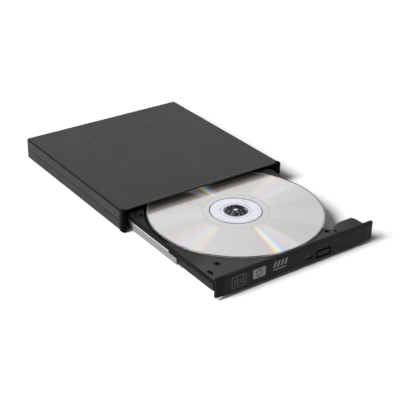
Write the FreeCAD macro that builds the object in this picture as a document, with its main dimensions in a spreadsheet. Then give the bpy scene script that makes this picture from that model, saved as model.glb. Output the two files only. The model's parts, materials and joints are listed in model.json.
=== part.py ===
import FreeCAD, Part
import Sketcher
import os
import re

# External slim optical drive with its tray drawn out.
# Frame: millimetres, +Z up. The origin lies on the desk plane, under the middle of the
# case's front edge. +Y runs to the back of the case and the tray slides out along -Y.
# Left is -X and right is +X.

os.makedirs("parts", exist_ok=True)
doc = FreeCAD.newDocument("optical_drive")

# ================================================================ driving dimensions
# "level" is a height above the desk, "half" a half-width about x = 0.
SIZES = dict(
    # case
    case_width=135.6, case_depth=137.6, foot_height=0.8, case_top=16.65,
    seam_level=8.3, lid_thick=1.3, wall_thick=1.5, floor_thick=1.1,
    edge_round=1.7, corner_round=2.2,
    pillar_inner=64.3, pillar_front=2.2, pillar_back=1.8, pillar_gap=0.05,
    foot_radius=5.0, foot_recess=0.3, foot_x=55.0, foot_front=14.0, foot_rear=124.0,
    boss_x=56.0, boss_y=131.8, boss_radius=2.4,
    # screws that hold the pan to the case floor
    mount_x=40.0, mount_front=30.0, mount_rear=105.0,
    # drive chassis
    chassis_half=63.9, chassis_front=1.0, chassis_rear=127.0, pan_level=1.95,
    sheet_thick=0.35, side_thick=0.3, cover_level=14.9, cover_thick=0.4, cover_gap=0.05,
    shelf_level=10.0, shelf_inner=59.6,
    side_screw_front=20.0, side_screw_rear=110.0, side_screw_level=13.2, side_hole=0.85,
    ejector_x=-30.0, ejector_level=7.2,
    # tray
    tray_left=63.5, tray_right=58.7, tray_front=99.85, tray_rear=24.8,
    tray_top=13.3, tray_under=10.9,
    well_floor=11.9, well_radius=61.6, well_front_radius=60.8, well_step=-46.7,
    nose_right=36.6, skirt_level=3.2, skirt_left=60.4, skirt_left_inner=59.2,
    skirt_right=55.8, skirt_right_inner=54.6, rib_low=4.6, rib_high=9.1,
    # bezel
    bezel_half=63.85, bezel_face=102.35, bezel_back=99.95, bezel_low=2.25, bezel_high=15.45,
    button_x0=15.0, button_x1=27.0, button_z0=3.6, button_z1=8.8, button_gap=0.6,
    button_back=99.1, button_proud=0.05,
    window_x0=5.6, window_x1=11.8, window_z0=5.4, window_z1=7.9, window_gap=0.1,
    pinhole_x=31.9, pinhole_z=6.4, pinhole_radius=0.7,
    # latch
    latch_top=13.8, latch_roof=12.9, lever_x=54.5, lever_y=-96.5,
    solenoid_y=-94.6, solenoid_level=8.2,
    # disc and spindle
    disc_x=-0.8, disc_y=-37.8, disc_radius=60.0, disc_bore=7.5, disc_level=13.0,
    disc_thick=1.2, hub_radius=7.35, shaft_radius=1.3,
    # rails
    rail_low=3.8, rail_high=9.8, rail_sheet=0.5, rail_outer=63.5, rail_lip=60.6,
    rail_front=59.5, rail_lip_front=50.5, rail_rear=60.0,
    right_rail_outer=59.4, right_rail_lip=56.3, right_rail_front=45.0, guide_gap=0.15,
    # pickup traverse, measured from the spindle axis along the sled's travel and, for the
    # sizes that end in _t, across it
    rod_level=6.8, main_rod_radius=1.25, sub_rod_radius=1.0, rod_run=0.05,
    main_rod_t=-16.0, sub_rod_t=14.0, screw_t=-22.0, screw_radius=1.3, sled_angle=135.0,
    lens_along=26.0, lens_radius=2.3,
    # rear board and sockets
    board_low=3.6, board_high=4.4, board_screw_x=46.0, board_screw_y=132.6,
    socket_x=-34.15, jack_x=-12.0, jack_level=7.9, jack_opening=3.05,
)
sheet = doc.addObject("Spreadsheet::Sheet", "Sizes")
for row, (alias, number) in enumerate(SIZES.items(), start=1):
    sheet.set("A%d" % row, str(number))
    sheet.setAlias("A%d" % row, alias)
doc.recompute()

# ================================================================ sizes as text
# Every size below is a plain number or a text such as "case_width/2-wall_thick".
WORD = re.compile(r"[A-Za-z_][A-Za-z_0-9]*")
TOKEN = re.compile(r"\s*([0-9]*\.?[0-9]+|[A-Za-z_]\w*|[-+*/()])")


def number_of(size):
    """Value of a size."""
    tokens = TOKEN.findall(str(size))

    def atom():
        token = tokens.pop(0)
        if token == "(":
            value = total()
            tokens.pop(0)
            return value
        if token == "-":
            return -atom()
        return SIZES[token] if WORD.fullmatch(token) else float(token)

    def product():
        value = atom()
        while tokens and tokens[0] in "*/":
            if tokens.pop(0) == "*":
                value *= atom()
            else:
                value /= atom()
        return value

    def total():
        value = product()
        while tokens and tokens[0] in "+-":
            if tokens.pop(0) == "+":
                value += product()
            else:
                value -= product()
        return value

    return total()


def opposite(size):
    return "-(%s)" % size


def link(obj, path, size):
    """Bind a property to the sheet if the size names any driving dimension."""
    text = str(size)
    if WORD.search(text):
        obj.setExpression(path, WORD.sub(lambda match: "Sizes." + match.group(0), text))


def bind(obj, prop, size):
    setattr(obj, prop, number_of(size))
    link(obj, prop, size)


UP = FreeCAD.Vector(0, 0, 1)


def place(obj, x=0, y=0, z=0, turn=0, axis=UP):
    obj.Placement = FreeCAD.Placement(
        FreeCAD.Vector(number_of(x), number_of(y), number_of(z)), FreeCAD.Rotation(axis, turn))
    link(obj, "Placement.Base.x", x)
    link(obj, "Placement.Base.y", y)
    link(obj, "Placement.Base.z", z)


def from_spindle(along, across, angle):
    """x and y of a point given in a frame on the spindle axis, turned by an angle."""
    step = FreeCAD.Rotation(UP, angle).multVec(FreeCAD.Vector(along, across, 0))
    return "disc_x + %.9f" % step.x, "disc_y + %.9f" % step.y


# ================================================================ sketch loops and edges
def circle(x, y, radius):
    return "circle", (x, y, radius)


def poly(*points):
    return "poly", points


def rect(x0, y0, x1, y1):
    return poly((x0, y0), (x1, y0), (x1, y1), (x0, y1))


def circles(places, radius):
    return [circle(x, y, radius) for x, y in places]


def corners(x, front, rear):
    """Four places, left before right and front before rear."""
    return [(opposite(x), front), (x, front), (opposite(x), rear), (x, rear)]


def coords(edge, axis):
    return [vertex.Point["XYZ".index(axis)] for vertex in edge.Vertexes]


def at(edge, axis, size):
    """True if all the edge's ends lie at one coordinate."""
    value = number_of(size)
    return all(abs(coord - value) < 1e-4 for coord in coords(edge, axis))


def along(edge, axis):
    """True for a straight edge that runs along one axis."""
    if len(edge.Vertexes) < 2 or edge.Curve.TypeId != "Part::GeomLine":
        return False
    first, last = edge.Vertexes[0].Point, edge.Vertexes[-1].Point
    run = [abs(last[i] - first[i]) for i in range(3)]
    length = run.pop("XYZ".index(axis))
    return length > 1e-6 and max(run) < 1e-6


# ================================================================ makers
PIECES = {}


def publish(label, obj):
    """Mark an object as a finished piece, to be written under its label."""
    obj.Label = label
    PIECES[label] = obj


def dimension(sketch, kind, size, *where):
    index = sketch.addConstraint(Sketcher.Constraint(kind, *where, number_of(size)))
    link(sketch, "Constraints[%d]" % index, size)


class Piece:
    """One moulded, pressed or turned piece, as a PartDesign body.

    Pads and cuts start at an offset from an origin plane. They run along +Z from XY and
    +X from YZ, but along -Y from XZ.
    """

    def __init__(self, label, x=0, y=0, z=0, turn=0, published=True):
        self.label = label
        self.body = doc.addObject("PartDesign::Body", label)
        place(self.body, x, y, z, turn)
        self.count = 0
        if published:
            publish(label, self.body)

    def name(self, what):
        self.count += 1
        return "%s_%s%d" % (self.label, what, self.count)

    def sketch(self, plane, offset, loops):
        sketch = self.body.newObject("Sketcher::SketchObject", self.name("sketch"))
        origin = self.body.Origin.OriginFeatures
        support = [item for item in origin if item.Role == plane + "_Plane"][0]
        sketch.AttachmentSupport = [(support, "")]
        sketch.MapMode = "FlatFace"
        # the XZ plane's normal points along -Y
        if plane == "XZ":
            offset = opposite(offset)
        sketch.AttachmentOffset = FreeCAD.Placement(
            FreeCAD.Vector(0, 0, number_of(offset)), FreeCAD.Rotation())
        link(sketch, "AttachmentOffset.Base.z", offset)
        for kind, data in loops:
            start = sketch.GeometryCount
            if kind == "circle":
                x, y, radius = data
                middle = FreeCAD.Vector(number_of(x), number_of(y), 0)
                sketch.addGeometry(Part.Circle(middle, UP, number_of(radius)), False)
                dimension(sketch, "Radius", radius, start)
                dimension(sketch, "DistanceX", x, -1, 1, start, 3)
                dimension(sketch, "DistanceY", y, -1, 1, start, 3)
                continue
            points = [FreeCAD.Vector(number_of(x), number_of(y), 0) for x, y in data]
            count = len(points)
            for i in range(count):
                line = Part.LineSegment(points[i], points[(i + 1) % count])
                sketch.addGeometry(line, False)
            for i in range(count):
                following = start + (i + 1) % count
                sketch.addConstraint(
                    Sketcher.Constraint("Coincident", start + i, 2, following, 1))
            for i, (x, y) in enumerate(data):
                dimension(sketch, "DistanceX", x, -1, 1, start + i, 1)
                dimension(sketch, "DistanceY", y, -1, 1, start + i, 1)
        return sketch

    def volume(self):
        return self.body.Shape.Volume if self.body.Tip else 0.0

    def made(self, feature, before, grows):
        """Recompute, and stop if the feature did not add or remove material as meant."""
        doc.recompute()
        change = self.volume() - before
        bad = "Invalid" in feature.State or "Error" in feature.State
        if bad or (change if grows else -change) <= 1e-6:
            raise RuntimeError("%s did not change the body as meant: %s %.4f"
                               % (feature.Name, feature.State, change))

    def pad(self, plane, offset, length, *loops):
        before = self.volume()
        sketch = self.sketch(plane, offset, loops)
        feature = self.body.newObject("PartDesign::Pad", self.name("pad"))
        feature.Profile = sketch
        bind(feature, "Length", length)
        self.made(feature, before, True)

    def cut(self, plane, offset, length, *loops):
        before = self.volume()
        sketch = self.sketch(plane, offset, loops)
        feature = self.body.newObject("PartDesign::Pocket", self.name("pocket"))
        feature.Profile = sketch
        feature.Reversed = True
        bind(feature, "Length", length)
        self.made(feature, before, False)

    def turned(self, *points):
        """Revolve an outline of (radius, level) about the body's Z axis."""
        sketch = self.sketch("XZ", 0, [poly(*points)])
        feature = self.body.newObject("PartDesign::Revolution", self.name("turn"))
        feature.Profile = sketch
        feature.ReferenceAxis = (sketch, ["V_Axis"])
        feature.Angle = 360
        self.made(feature, 0.0, True)

    def dress(self, kind, prop, size, chosen):
        base = self.body.Tip
        before = self.volume()
        edges = enumerate(base.Shape.Edges, start=1)
        names = ["Edge%d" % i for i, edge in edges if chosen(edge)]
        if not names:
            raise RuntimeError("no edge to dress on " + self.label)
        feature = self.body.newObject("PartDesign::" + kind, self.name(kind.lower()))
        feature.Base = (base, names)
        bind(feature, prop, size)
        doc.recompute()
        bad = "Invalid" in feature.State or "Error" in feature.State
        if bad or abs(self.volume() - before) < 1e-6:
            raise RuntimeError("%s failed on %s %s" % (feature.Name, names, feature.State))

    def fillet(self, size, chosen):
        self.dress("Fillet", "Radius", size, chosen)

    def chamfer(self, size, chosen):
        self.dress("Chamfer", "Size", size, chosen)


def block(name, x0, x1, y0, y1, z0, z1):
    box = doc.addObject("Part::Box", name)
    bind(box, "Length", "(%s)-(%s)" % (x1, x0))
    bind(box, "Width", "(%s)-(%s)" % (y1, y0))
    bind(box, "Height", "(%s)-(%s)" % (z1, z0))
    place(box, x0, y0, z0)
    return box


def radial_box(name, size, along_from, across_from, level, angle):
    """A box with its length turned by an angle about the spindle axis."""
    box = doc.addObject("Part::Box", name)
    box.Length, box.Width, box.Height = size
    place(box, *from_spindle(along_from, across_from, angle), level, angle)
    return box


# turn that lays a cylinder along an axis: (degrees, axis of the turn)
LAY = {"X": (90, FreeCAD.Vector(0, 1, 0)), "Y": (-90, FreeCAD.Vector(1, 0, 0)), "Z": (0, UP)}


def rod(name, x, y, z, radius, length, axis="Z"):
    cylinder = doc.addObject("Part::Cylinder", name)
    bind(cylinder, "Radius", radius)
    bind(cylinder, "Height", length)
    place(cylinder, x, y, z, *LAY[axis])
    return cylinder


def fuse(name, items):
    fusion = doc.addObject("Part::MultiFuse", name)
    fusion.Shapes = items
    return fusion


def minus(name, base, tool):
    result = doc.addObject("Part::Cut", name)
    result.Base = base
    result.Tool = tool
    return result


def group(label, items):
    compound = doc.addObject("Part::Compound", label)
    compound.Links = items
    publish(label, compound)


def screw(name, x, y, head, shank):
    """An upright screw; head and shank are each (bottom level, radius, length)."""
    return fuse(name, [rod(name + "_head", x, y, *head), rod(name + "_shank", x, y, *shank)])


def screw_pair(name, x, y, head, shank):
    """A left and a right screw."""
    return [screw(name + "_l", opposite(x), y, head, shank),
            screw(name + "_r", x, y, head, shank)]


def block_group(label, table):
    """A group of blocks from rows of name, x0, x1, y0, y1, z0, z1."""
    group(label, [block(*entry) for entry in table])


# ================================================================ case
LEFT, RIGHT = "-case_width/2", "case_width/2"
CAVITY = rect("-case_width/2+wall_thick", -1, "case_width/2-wall_thick",
              "case_depth-wall_thick")
BOSSES = [("-boss_x", "boss_y"), ("boss_x", "boss_y")]
FEET = corners("foot_x", "foot_front", "foot_rear")
MOUNTS = corners("mount_x", "mount_front", "mount_rear")
BOARD_SCREWS = [("-board_screw_x", "board_screw_y"), ("board_screw_x", "board_screw_y")]
JACK_HOLE = circle("jack_x", "jack_level", "jack_opening")
# posts start 0.1 inside the floor
POST_FOOT = "foot_height+floor_thick-0.1"


def rear_corner(edge):
    return along(edge, "Z") and at(edge, "Y", "case_depth")


def front_edge(edge):
    return along(edge, "X") and at(edge, "Y", 0)


def outer_seam(edge):
    """Outer edges of the parting line: the sides, the back and the rear corners' arcs."""
    if not at(edge, "Z", "seam_level"):
        return False
    if along(edge, "Y"):
        return at(edge, "X", LEFT) or at(edge, "X", RIGHT)
    if along(edge, "X"):
        return at(edge, "Y", "case_depth")
    return edge.Vertexes[0].Point[1] > 130


def top_shell():
    """Upper half: a shallow cover, open at the front, notched round the front pillars."""
    shell = Piece("top_shell")
    height = "case_top-seam_level"
    shell.pad("XY", "seam_level", height, rect(LEFT, 0, RIGHT, "case_depth"))
    shell.fillet("corner_round", rear_corner)
    shell.fillet("edge_round", lambda e: at(e, "Z", "case_top") and not front_edge(e))
    shell.cut("XY", "seam_level", "case_top-lid_thick-seam_level", CAVITY)
    notch_x, notch_y = "pillar_inner-pillar_gap", "pillar_back+pillar_gap"
    shell.cut("XY", "seam_level", height, rect(-80, -1, opposite(notch_x), notch_y))
    shell.cut("XY", "seam_level", height, rect(notch_x, -1, 80, notch_y))
    shell.fillet(0.45, lambda e: front_edge(e) and at(e, "Z", "case_top"))
    # fine relief along the parting line
    shell.chamfer(0.3, outer_seam)
    # screw bosses with blind bores
    for x, y in BOSSES:
        shell.pad("XY", "seam_level", "case_top-lid_thick-seam_level+0.2",
                  circle(x, y, "boss_radius"))
        shell.cut("XY", "seam_level", 4.5, circle(x, y, 1.15))
    shell.cut("XZ", "case_depth+1", 4, JACK_HOLE)


def bottom_shell():
    """Lower half: floor, side walls, rear wall with the sockets' openings, front pillars."""
    shell = Piece("bottom_shell")
    shell.pad("XY", "foot_height", "seam_level-foot_height", rect(LEFT, 0, RIGHT, "case_depth"))
    shell.fillet("corner_round", rear_corner)
    shell.chamfer(0.8, lambda e: at(e, "Z", "foot_height") and not front_edge(e))
    shell.cut("XY", "foot_height+floor_thick", 10, CAVITY)
    shell.pad("XY", "foot_height", "case_top-foot_height",
              rect(LEFT, "-pillar_front", "-pillar_inner", "pillar_back"),
              rect("pillar_inner", "-pillar_front", RIGHT, "pillar_back"))
    shell.fillet(1.45, lambda e: along(e, "Z") and at(e, "Y", "-pillar_front"))
    shell.fillet(0.5, lambda e: at(e, "Z", "case_top") and min(coords(e, "Y")) < 1.0)
    # screw bosses, each with a wide foot, a through hole and a recess for the screw's head
    for x, y in BOSSES:
        shell.pad("XY", POST_FOOT, "seam_level-foot_height-floor_thick+0.1",
                  circle(x, y, "boss_radius"))
        shell.pad("XY", POST_FOOT, 3.2, circle(x, y, 3.2))
        shell.cut("XY", 0, 20, circle(x, y, 1.2))
        shell.cut("XY", 0, 4.1, circle(x, y, 2.2))
    # recesses for the feet
    shell.cut("XY", "foot_height-0.5", "0.5+foot_recess", *circles(FEET, "foot_radius+0.1"))
    # holes and head recesses for the drive's screws
    shell.cut("XY", 0, 5, *circles(MOUNTS, 1.1))
    shell.cut("XY", 0, "foot_height+0.6", *circles(MOUNTS, 2.0))
    # openings for the two sockets
    shell.cut("XZ", "case_depth+1", 4,
              rect("socket_x-4.1", "board_high-0.2", "socket_x+4.1", "seam_level+1"))
    shell.cut("XZ", "case_depth+1", 4, JACK_HOLE)
    # stand-offs for the rear board; the middle one has no bore
    shell.pad("XY", POST_FOOT, "board_low-foot_height-floor_thick+0.1",
              *circles(BOARD_SCREWS + [(4, "board_screw_y")], 1.9))
    shell.cut("XY", 2.1, 5, *circles(BOARD_SCREWS, 0.95))
    # cooling slots in the floor
    slots = [-22 + 8 * i for i in range(6)]
    shell.cut("XY", 0, 5, *[rect(x, 52, x + 1.6, 76) for x in slots])


def case_screws():
    group("case_screws", screw_pair("case_screw", "boss_x", "boss_y",
                                    (2.7, 1.95, 1.35), (4.0, 1.05, 7.6)))


def rubber_feet():
    feet = []
    top = "foot_height+foot_recess"
    for tag, (x, y) in zip("abcd", FEET):
        foot = Piece("foot_" + tag, x, y, published=False)
        foot.turned((0, 0), ("foot_radius-0.5", 0), ("foot_radius", 0.45),
                    ("foot_radius", top), (0, top))
        feet.append(foot.body)
    group("rubber_feet", feet)


# ================================================================ drive chassis
SIDE_HOLES = circles([("side_screw_front", "side_screw_level"),
                      ("side_screw_rear", "side_screw_level")], "side_hole")
CHASSIS_DEPTH = "chassis_rear-chassis_front"


def chassis_pan():
    """Pressed steel pan: floor, side walls, inward shelf on the right, rear wall."""
    pan = Piece("chassis_pan")
    rim = "cover_level-0.1"
    pan.pad("XZ", "chassis_rear", CHASSIS_DEPTH, poly(
        ("-chassis_half", "pan_level"), ("chassis_half", "pan_level"),
        ("chassis_half", "shelf_level+0.4"), ("shelf_inner", "shelf_level+0.4"),
        ("shelf_inner", "shelf_level"), ("chassis_half-side_thick", "shelf_level"),
        ("chassis_half-side_thick", "pan_level+sheet_thick"),
        ("-chassis_half+side_thick", "pan_level+sheet_thick"),
        ("-chassis_half+side_thick", rim), ("-chassis_half", rim)))
    # right wall above the shelf, which starts 8 further back
    pan.pad("XZ", "chassis_rear", CHASSIS_DEPTH + "-8",
            rect("chassis_half-side_thick", "shelf_level", "chassis_half", rim))
    pan.pad("XZ", "chassis_rear", "side_thick",
            rect("-chassis_half", "pan_level", "chassis_half", rim))
    # opening for the connector
    pan.cut("XZ", "chassis_rear+1", 3, rect(14.9, 3.9, 45.1, 9.1))
    pan.cut("XY", 0, 3, *circles(MOUNTS, 1.05))
    # two rectangular openings in the floor
    pan.cut("XY", 0, 3, rect(-50, 46, -30, 92), rect(34, 50, 52, 88))
    pan.cut("YZ", -70, 140, *SIDE_HOLES)


def chassis_cover():
    """Flat steel lid whose short sides lap over the pan's walls."""
    cover = Piece("chassis_cover")
    inner = "chassis_half+cover_gap"
    outer = "chassis_half+cover_gap+side_thick"
    top, side_end = "cover_level+cover_thick", 12
    cover.pad("XZ", "chassis_rear", CHASSIS_DEPTH, poly(
        (opposite(outer), side_end), (opposite(inner), side_end),
        (opposite(inner), "cover_level"), (inner, "cover_level"),
        (inner, side_end), (outer, side_end), (outer, top), (opposite(outer), top)))
    cover.fillet(0.3, lambda e: along(e, "Y") and at(e, "Z", top))
    cover.cut("YZ", -70, 140, *SIDE_HOLES)


def chassis_screws():
    """Screws along X through the cover's sides into the pan's walls."""
    screws = []
    for row in ("front", "rear"):
        # side, left end of the head, left end of the shank
        for side, head_x, shank_x in (("l", "-chassis_half-0.85", "-chassis_half-0.45"),
                                      ("r", "chassis_half+0.4", "chassis_half-0.25")):
            name = "chassis_screw_%s_%s" % (row, side)
            y = "side_screw_" + row
            screws.append(fuse(name, [
                rod(name + "_head", head_x, y, "side_screw_level", 1.4, 0.45, "X"),
                rod(name + "_shank", shank_x, y, "side_screw_level", 0.8, 0.7, "X")]))
    group("chassis_screws", screws)


def drive_screws():
    group("drive_screws", [
        screw("drive_screw_%d" % i, x, y, (0.9, 1.9, 0.5), (1.3, 1.0, 1.25))
        for i, (x, y) in enumerate(MOUNTS)])


def left_guide():
    """Low strip on the pan floor under the left rail."""
    guide = Piece("left_guide")
    guide.pad("XZ", 124, 120, rect("-rail_outer", "pan_level+sheet_thick",
                                   "-rail_lip+0.1", "rail_low-guide_gap"))


def right_guide():
    """Stepped strip under and beside the right rail."""
    guide = Piece("right_guide")
    floor, step = "pan_level+sheet_thick", "rail_low-guide_gap"
    wall, top = "right_rail_outer+0.2", "shelf_level-0.05"
    guide.pad("XZ", 124, 122.5, poly(
        ("right_rail_lip", floor), ("chassis_half-0.4", floor), ("chassis_half-0.4", top),
        (wall, top), (wall, step), ("right_rail_lip", step)))
    # notch that the latch lever's nose turns into when the tray is shut
    guide.cut("XY", 4.2, 2.8, rect(59, 6.4, 61.3, 10.1))
    # step down at the front that clears the latch block
    guide.cut("XY", 2.95, 3, rect(56, 1, 59.5, 13.5))


def ejector_plunger():
    """Spring-loaded pusher at the back of the pan, shown pressed home."""
    plunger = Piece("ejector_plunger", "ejector_x", 0, "ejector_level")
    plunger.pad("XZ", 125.4, 0.4, circle(0, 0, 2.6))
    plunger.pad("XZ", 126.6, 1.3, circle(0, 0, 1.4))
    plunger.chamfer(0.15, lambda e: len(e.Vertexes) == 1 and at(e, "Y", 125.0))


def ejector_spring():
    """Coil along Y between the pusher's collar and the pan's rear wall."""
    coil_radius, wire_radius, pitch, length = 2.05, 0.12, 0.32, 0.96
    path = Part.makeHelix(pitch, length, coil_radius)
    section = Part.Circle(FreeCAD.Vector(coil_radius, 0, 0), FreeCAD.Vector(0, 1, 0), wire_radius)
    profile = Part.Wire([section.toShape()])
    spring = doc.addObject("Part::Feature", "ejector_spring")
    spring.Shape = Part.Wire(path.Edges).makePipeShell([profile], True, True)
    place(spring, "ejector_x", 125.56, "ejector_level", *LAY["Y"])
    publish("ejector_spring", spring)


# ================================================================ rear board and sockets
def bridge_board():
    board = Piece("bridge_board")
    board.pad("XY", "board_low", "board_high-board_low", rect(-50, 129.1, 50, 136.0))
    board.cut("XY", 0, 8, *circles(BOARD_SCREWS, 1.0))


def board_screws():
    group("board_screws", screw_pair("board_screw", "board_screw_x", "board_screw_y",
                                     ("board_high", 1.7, 1.0),
                                     (2.3, 0.9, "board_high-2.3+0.1")))


def bridge_chips():
    block_group("bridge_chips", [
        ("chip_controller", -4, 6, 130, 135.6, "board_high", "board_high+1.1"),
        ("chip_crystal", 7.4, 11.4, 133.4, 135.6, "board_high", "board_high+1.3"),
        ("chip_regulator", -27.5, -23.5, 130.4, 134.6, "board_high", "board_high+1.5")])


def connectors():
    """Mating connectors: one on the rear board, one on the drive."""
    publish("bridge_connector",
            block("bridge_connector", 16.2, 43.8, 129.1, 131.6, "board_high", 9))
    connector = Piece("drive_connector")
    connector.pad("XY", 4, 5, rect(15, 125.0, 45, 129.0))
    connector.cut("XY", 7.8, 2, rect(17, 124, 43, 126.2))


def socket_outline(narrow, wide, low, chamfer_top, high):
    """Six-sided outline, narrower at the bottom; levels are above the rear board."""
    low, chamfer_top, high = ["board_high+%s" % level for level in (low, chamfer_top, high)]
    return poly(("socket_x-%s" % narrow, low), ("socket_x+%s" % narrow, low),
                ("socket_x+%s" % wide, chamfer_top), ("socket_x+%s" % wide, high),
                ("socket_x-%s" % wide, high), ("socket_x-%s" % wide, chamfer_top))


def usb_socket():
    """Metal shell, open at the back of the case, with its tongue."""
    socket = Piece("usb_socket")
    socket.pad("XZ", 137.3, 7.9, socket_outline(2.9, 3.85, 0, 1.3, 3.85))
    socket.cut("XZ", 138, 6.5, socket_outline(2.6, 3.45, 0.4, 1.5, 3.45))
    publish("usb_tongue", block("usb_tongue", "socket_x-2.4", "socket_x+2.4", 131.5, 136.3,
                                "board_high+1.75", "board_high+2.55"))


def dc_jack():
    """Round-mouthed jack on a square body, with its pin."""
    jack = Piece("dc_jack")
    jack.pad("XZ", 135.9, 6.4, rect("jack_x-3.5", "board_high", "jack_x+3.5", "jack_level+3.4"))
    jack.pad("XZ", 137.4, 1.6, circle("jack_x", "jack_level", 2.95))
    jack.cut("XZ", 138, 6.5, circle("jack_x", "jack_level", 1.8))
    publish("dc_pin", rod("dc_pin", "jack_x", 131.5, "jack_level", 0.6, 5.0, "Y"))


def flex_cable():
    """Flat cable along the pan floor that turns up behind, in two strips side by side."""
    # (y, z)
    profile = poly((44, 2.32), (124.6, 2.32), (125.5, 2.9), (125.5, 3.98),
                   (125.3, 3.98), (125.3, 3.0), (124.5, 2.5), (44, 2.5))
    cable = Piece("flex_cable")
    for start_x, width in ((10, 3.5), (13.5, 11.5)):
        cable.pad("YZ", start_x, width, profile)


# ================================================================ rails
def rail_outline(outer, web, lip):
    """Channel that opens inward: x of its outer face, the web's inner face and the lips."""
    low, high = "rail_low+rail_sheet", "rail_high-rail_sheet"
    return [(outer, "rail_low"), (lip, "rail_low"), (lip, low), (web, low),
            (web, high), (lip, high), (lip, "rail_high"), (outer, "rail_high")]


def left_rail():
    rail = Piece("left_rail")
    rail.pad("XZ", "rail_rear", "rail_rear+rail_front",
             poly(*rail_outline("-rail_outer", "-rail_outer+0.55", "-rail_lip")))
    # the top is cut away at the front
    rail.cut("XY", "rail_high-1.3", 3, rect(-70, -70, -50, "-rail_lip_front"))
    rail.fillet(0.3, lambda e: along(e, "Y") and at(e, "X", "-rail_outer")
                and (at(e, "Z", "rail_low") or at(e, "Z", "rail_high")))
    rail.cut("YZ", -70, 8, rect(30, 5.8, 44, 7.4))


def right_rail():
    rail = Piece("right_rail")
    rail.pad("XZ", "rail_rear", "rail_rear+right_rail_front", poly(
        ("right_rail_outer", "rail_low"), ("right_rail_outer", "rail_high"),
        ("right_rail_lip", "rail_high"), ("right_rail_lip", "rail_high-rail_sheet"),
        ("right_rail_outer-0.5", "rail_high-rail_sheet"),
        ("right_rail_outer-0.5", "rail_low+rail_sheet"),
        ("right_rail_lip", "rail_low+rail_sheet"), ("right_rail_lip", "rail_low")))
    rail.fillet(0.3, lambda e: along(e, "Y") and at(e, "X", "right_rail_outer"))


# ================================================================ tray
# (x, y) of the front of the cut-away right side, from front to back
DIAGONAL = [("nose_right", -92.4), (33.4, -89.0), (50, -60)]
# (x, y) of the screws that hold the underplate
TRAY_SCREWS = [(-55.5, -94.5), (27.5, -91.0), (50, 18), (-54, 19.4)]
SKIRT_HEIGHT = "tray_under-skirt_level+0.1"


def tray_top_edge(edge):
    """Upper edges of the deck: the left side, and the right side just behind the front."""
    if not at(edge, "Z", "tray_top"):
        return False
    nose = (len(edge.Vertexes) == 2 and max(coords(edge, "X")) > 33
            and max(coords(edge, "Y")) < -80 and not at(edge, "Y", "-tray_front"))
    return at(edge, "X", "-tray_left") or nose


def tray_moulding():
    """Moulded deck with the disc's well, side ribs that run in the rails, and skirts that
    hang down to the steel underplate. The right-hand side is cut away so the disc
    overhangs it."""
    tray = Piece("tray_moulding", published=False)
    tray.pad("XY", "tray_under", "tray_top-tray_under", poly(
        ("-tray_left", "-tray_front"), ("nose_right", "-tray_front"), *DIAGONAL,
        ("tray_right", -44), ("tray_right", "tray_rear"), ("-tray_left", "tray_rear")))
    tray.fillet(0.35, tray_top_edge)
    tray.cut("XY", "well_floor", 5, circle("disc_x", "disc_y", "well_front_radius"))
    # shelf groove down the left side, just under the deck
    tray.cut("XY", "tray_under", "12.3-tray_under",
             rect("-tray_left-1", -98.5, "-tray_left+0.45", "tray_rear+1"))
    # left: overhang, web and the rib that runs inside the rail
    web_top, overhang, rib_left = "tray_under+0.2", "-tray_left+0.45", -62.7
    tray.pad("XZ", "tray_rear", "tray_rear+97.2", poly(
        (overhang, web_top), (overhang, 10.0), ("-skirt_left", 10.0),
        ("-skirt_left", "rib_high"), (rib_left, "rib_high"), (rib_left, "rib_low"),
        ("-skirt_left", "rib_low"), ("-skirt_left", "skirt_level"),
        ("-skirt_left_inner", "skirt_level"), ("-skirt_left_inner", web_top)))
    # right: web and rib
    tray.pad("XZ", "tray_rear", "tray_rear+44", poly(
        ("skirt_right_inner", web_top), ("skirt_right_inner", "skirt_level"),
        ("skirt_right", "skirt_level"), ("skirt_right", "rib_low"), ("tray_right", "rib_low"),
        ("tray_right", "rib_high"), ("skirt_right", "rib_high"), ("skirt_right", web_top)))
    # front, diagonal and rear skirts
    tray.pad("XY", "skirt_level", SKIRT_HEIGHT,
             rect("-skirt_left", "-tray_front", "nose_right", "-tray_front+1"))
    tray.pad("XY", "skirt_level", SKIRT_HEIGHT, poly(
        ("nose_right-1", "-tray_front+0.5"), ("nose_right", "-tray_front+0.5"), *DIAGONAL,
        ("skirt_right", -45.9), ("skirt_right", -43.5), ("skirt_right_inner", -43.5),
        ("skirt_right_inner", -45.7), (48.95, -59.5), (32.1, -88.95),
        ("nose_right-1", -92.85)))
    tray.pad("XY", "skirt_level", SKIRT_HEIGHT,
             rect("-skirt_left", "tray_rear-1", "skirt_right", "tray_rear"))
    # openings: turntable, button and window in the front skirt, holes in the deck
    tray.cut("XY", "tray_under-0.5", 3, circle("disc_x", "disc_y", 17.5))
    tray.cut("XZ", -98.5, 2, rect(4.0, "skirt_level-1", 34.6, 9.6))
    tray.cut("XY", 9.95, 5, circle(-50.6, -84.6, 1.1), circle(32.1, -92.1, 1.1),
             circle(-56.1, -6.5, 1.3))
    tray.cut("XY", 12.4, 3, rect(-61.2, -93.2, -58.9, -88.2))
    # behind the well's step the left-hand deck lies lower, inside a thin rim;
    # a pocket goes deeper at the rear
    tray.cut("XY", 12.65, 2, rect(-62.9, "well_step", -40, "tray_rear-0.7"))
    tray.cut("XY", 12.1, 2, poly((-62.0, -4), (-57.6, -4), (-56.4, 12), (-56.4, 22.8),
                                 (-62.0, 22.8)))
    # posts for the underplate's screws
    for x, y in TRAY_SCREWS:
        tray.pad("XY", "skirt_level", SKIRT_HEIGHT, circle(x, y, 2))
        tray.cut("XY", "skirt_level-0.5", 4.5, circle(x, y, 0.75))
    return tray.body


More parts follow.
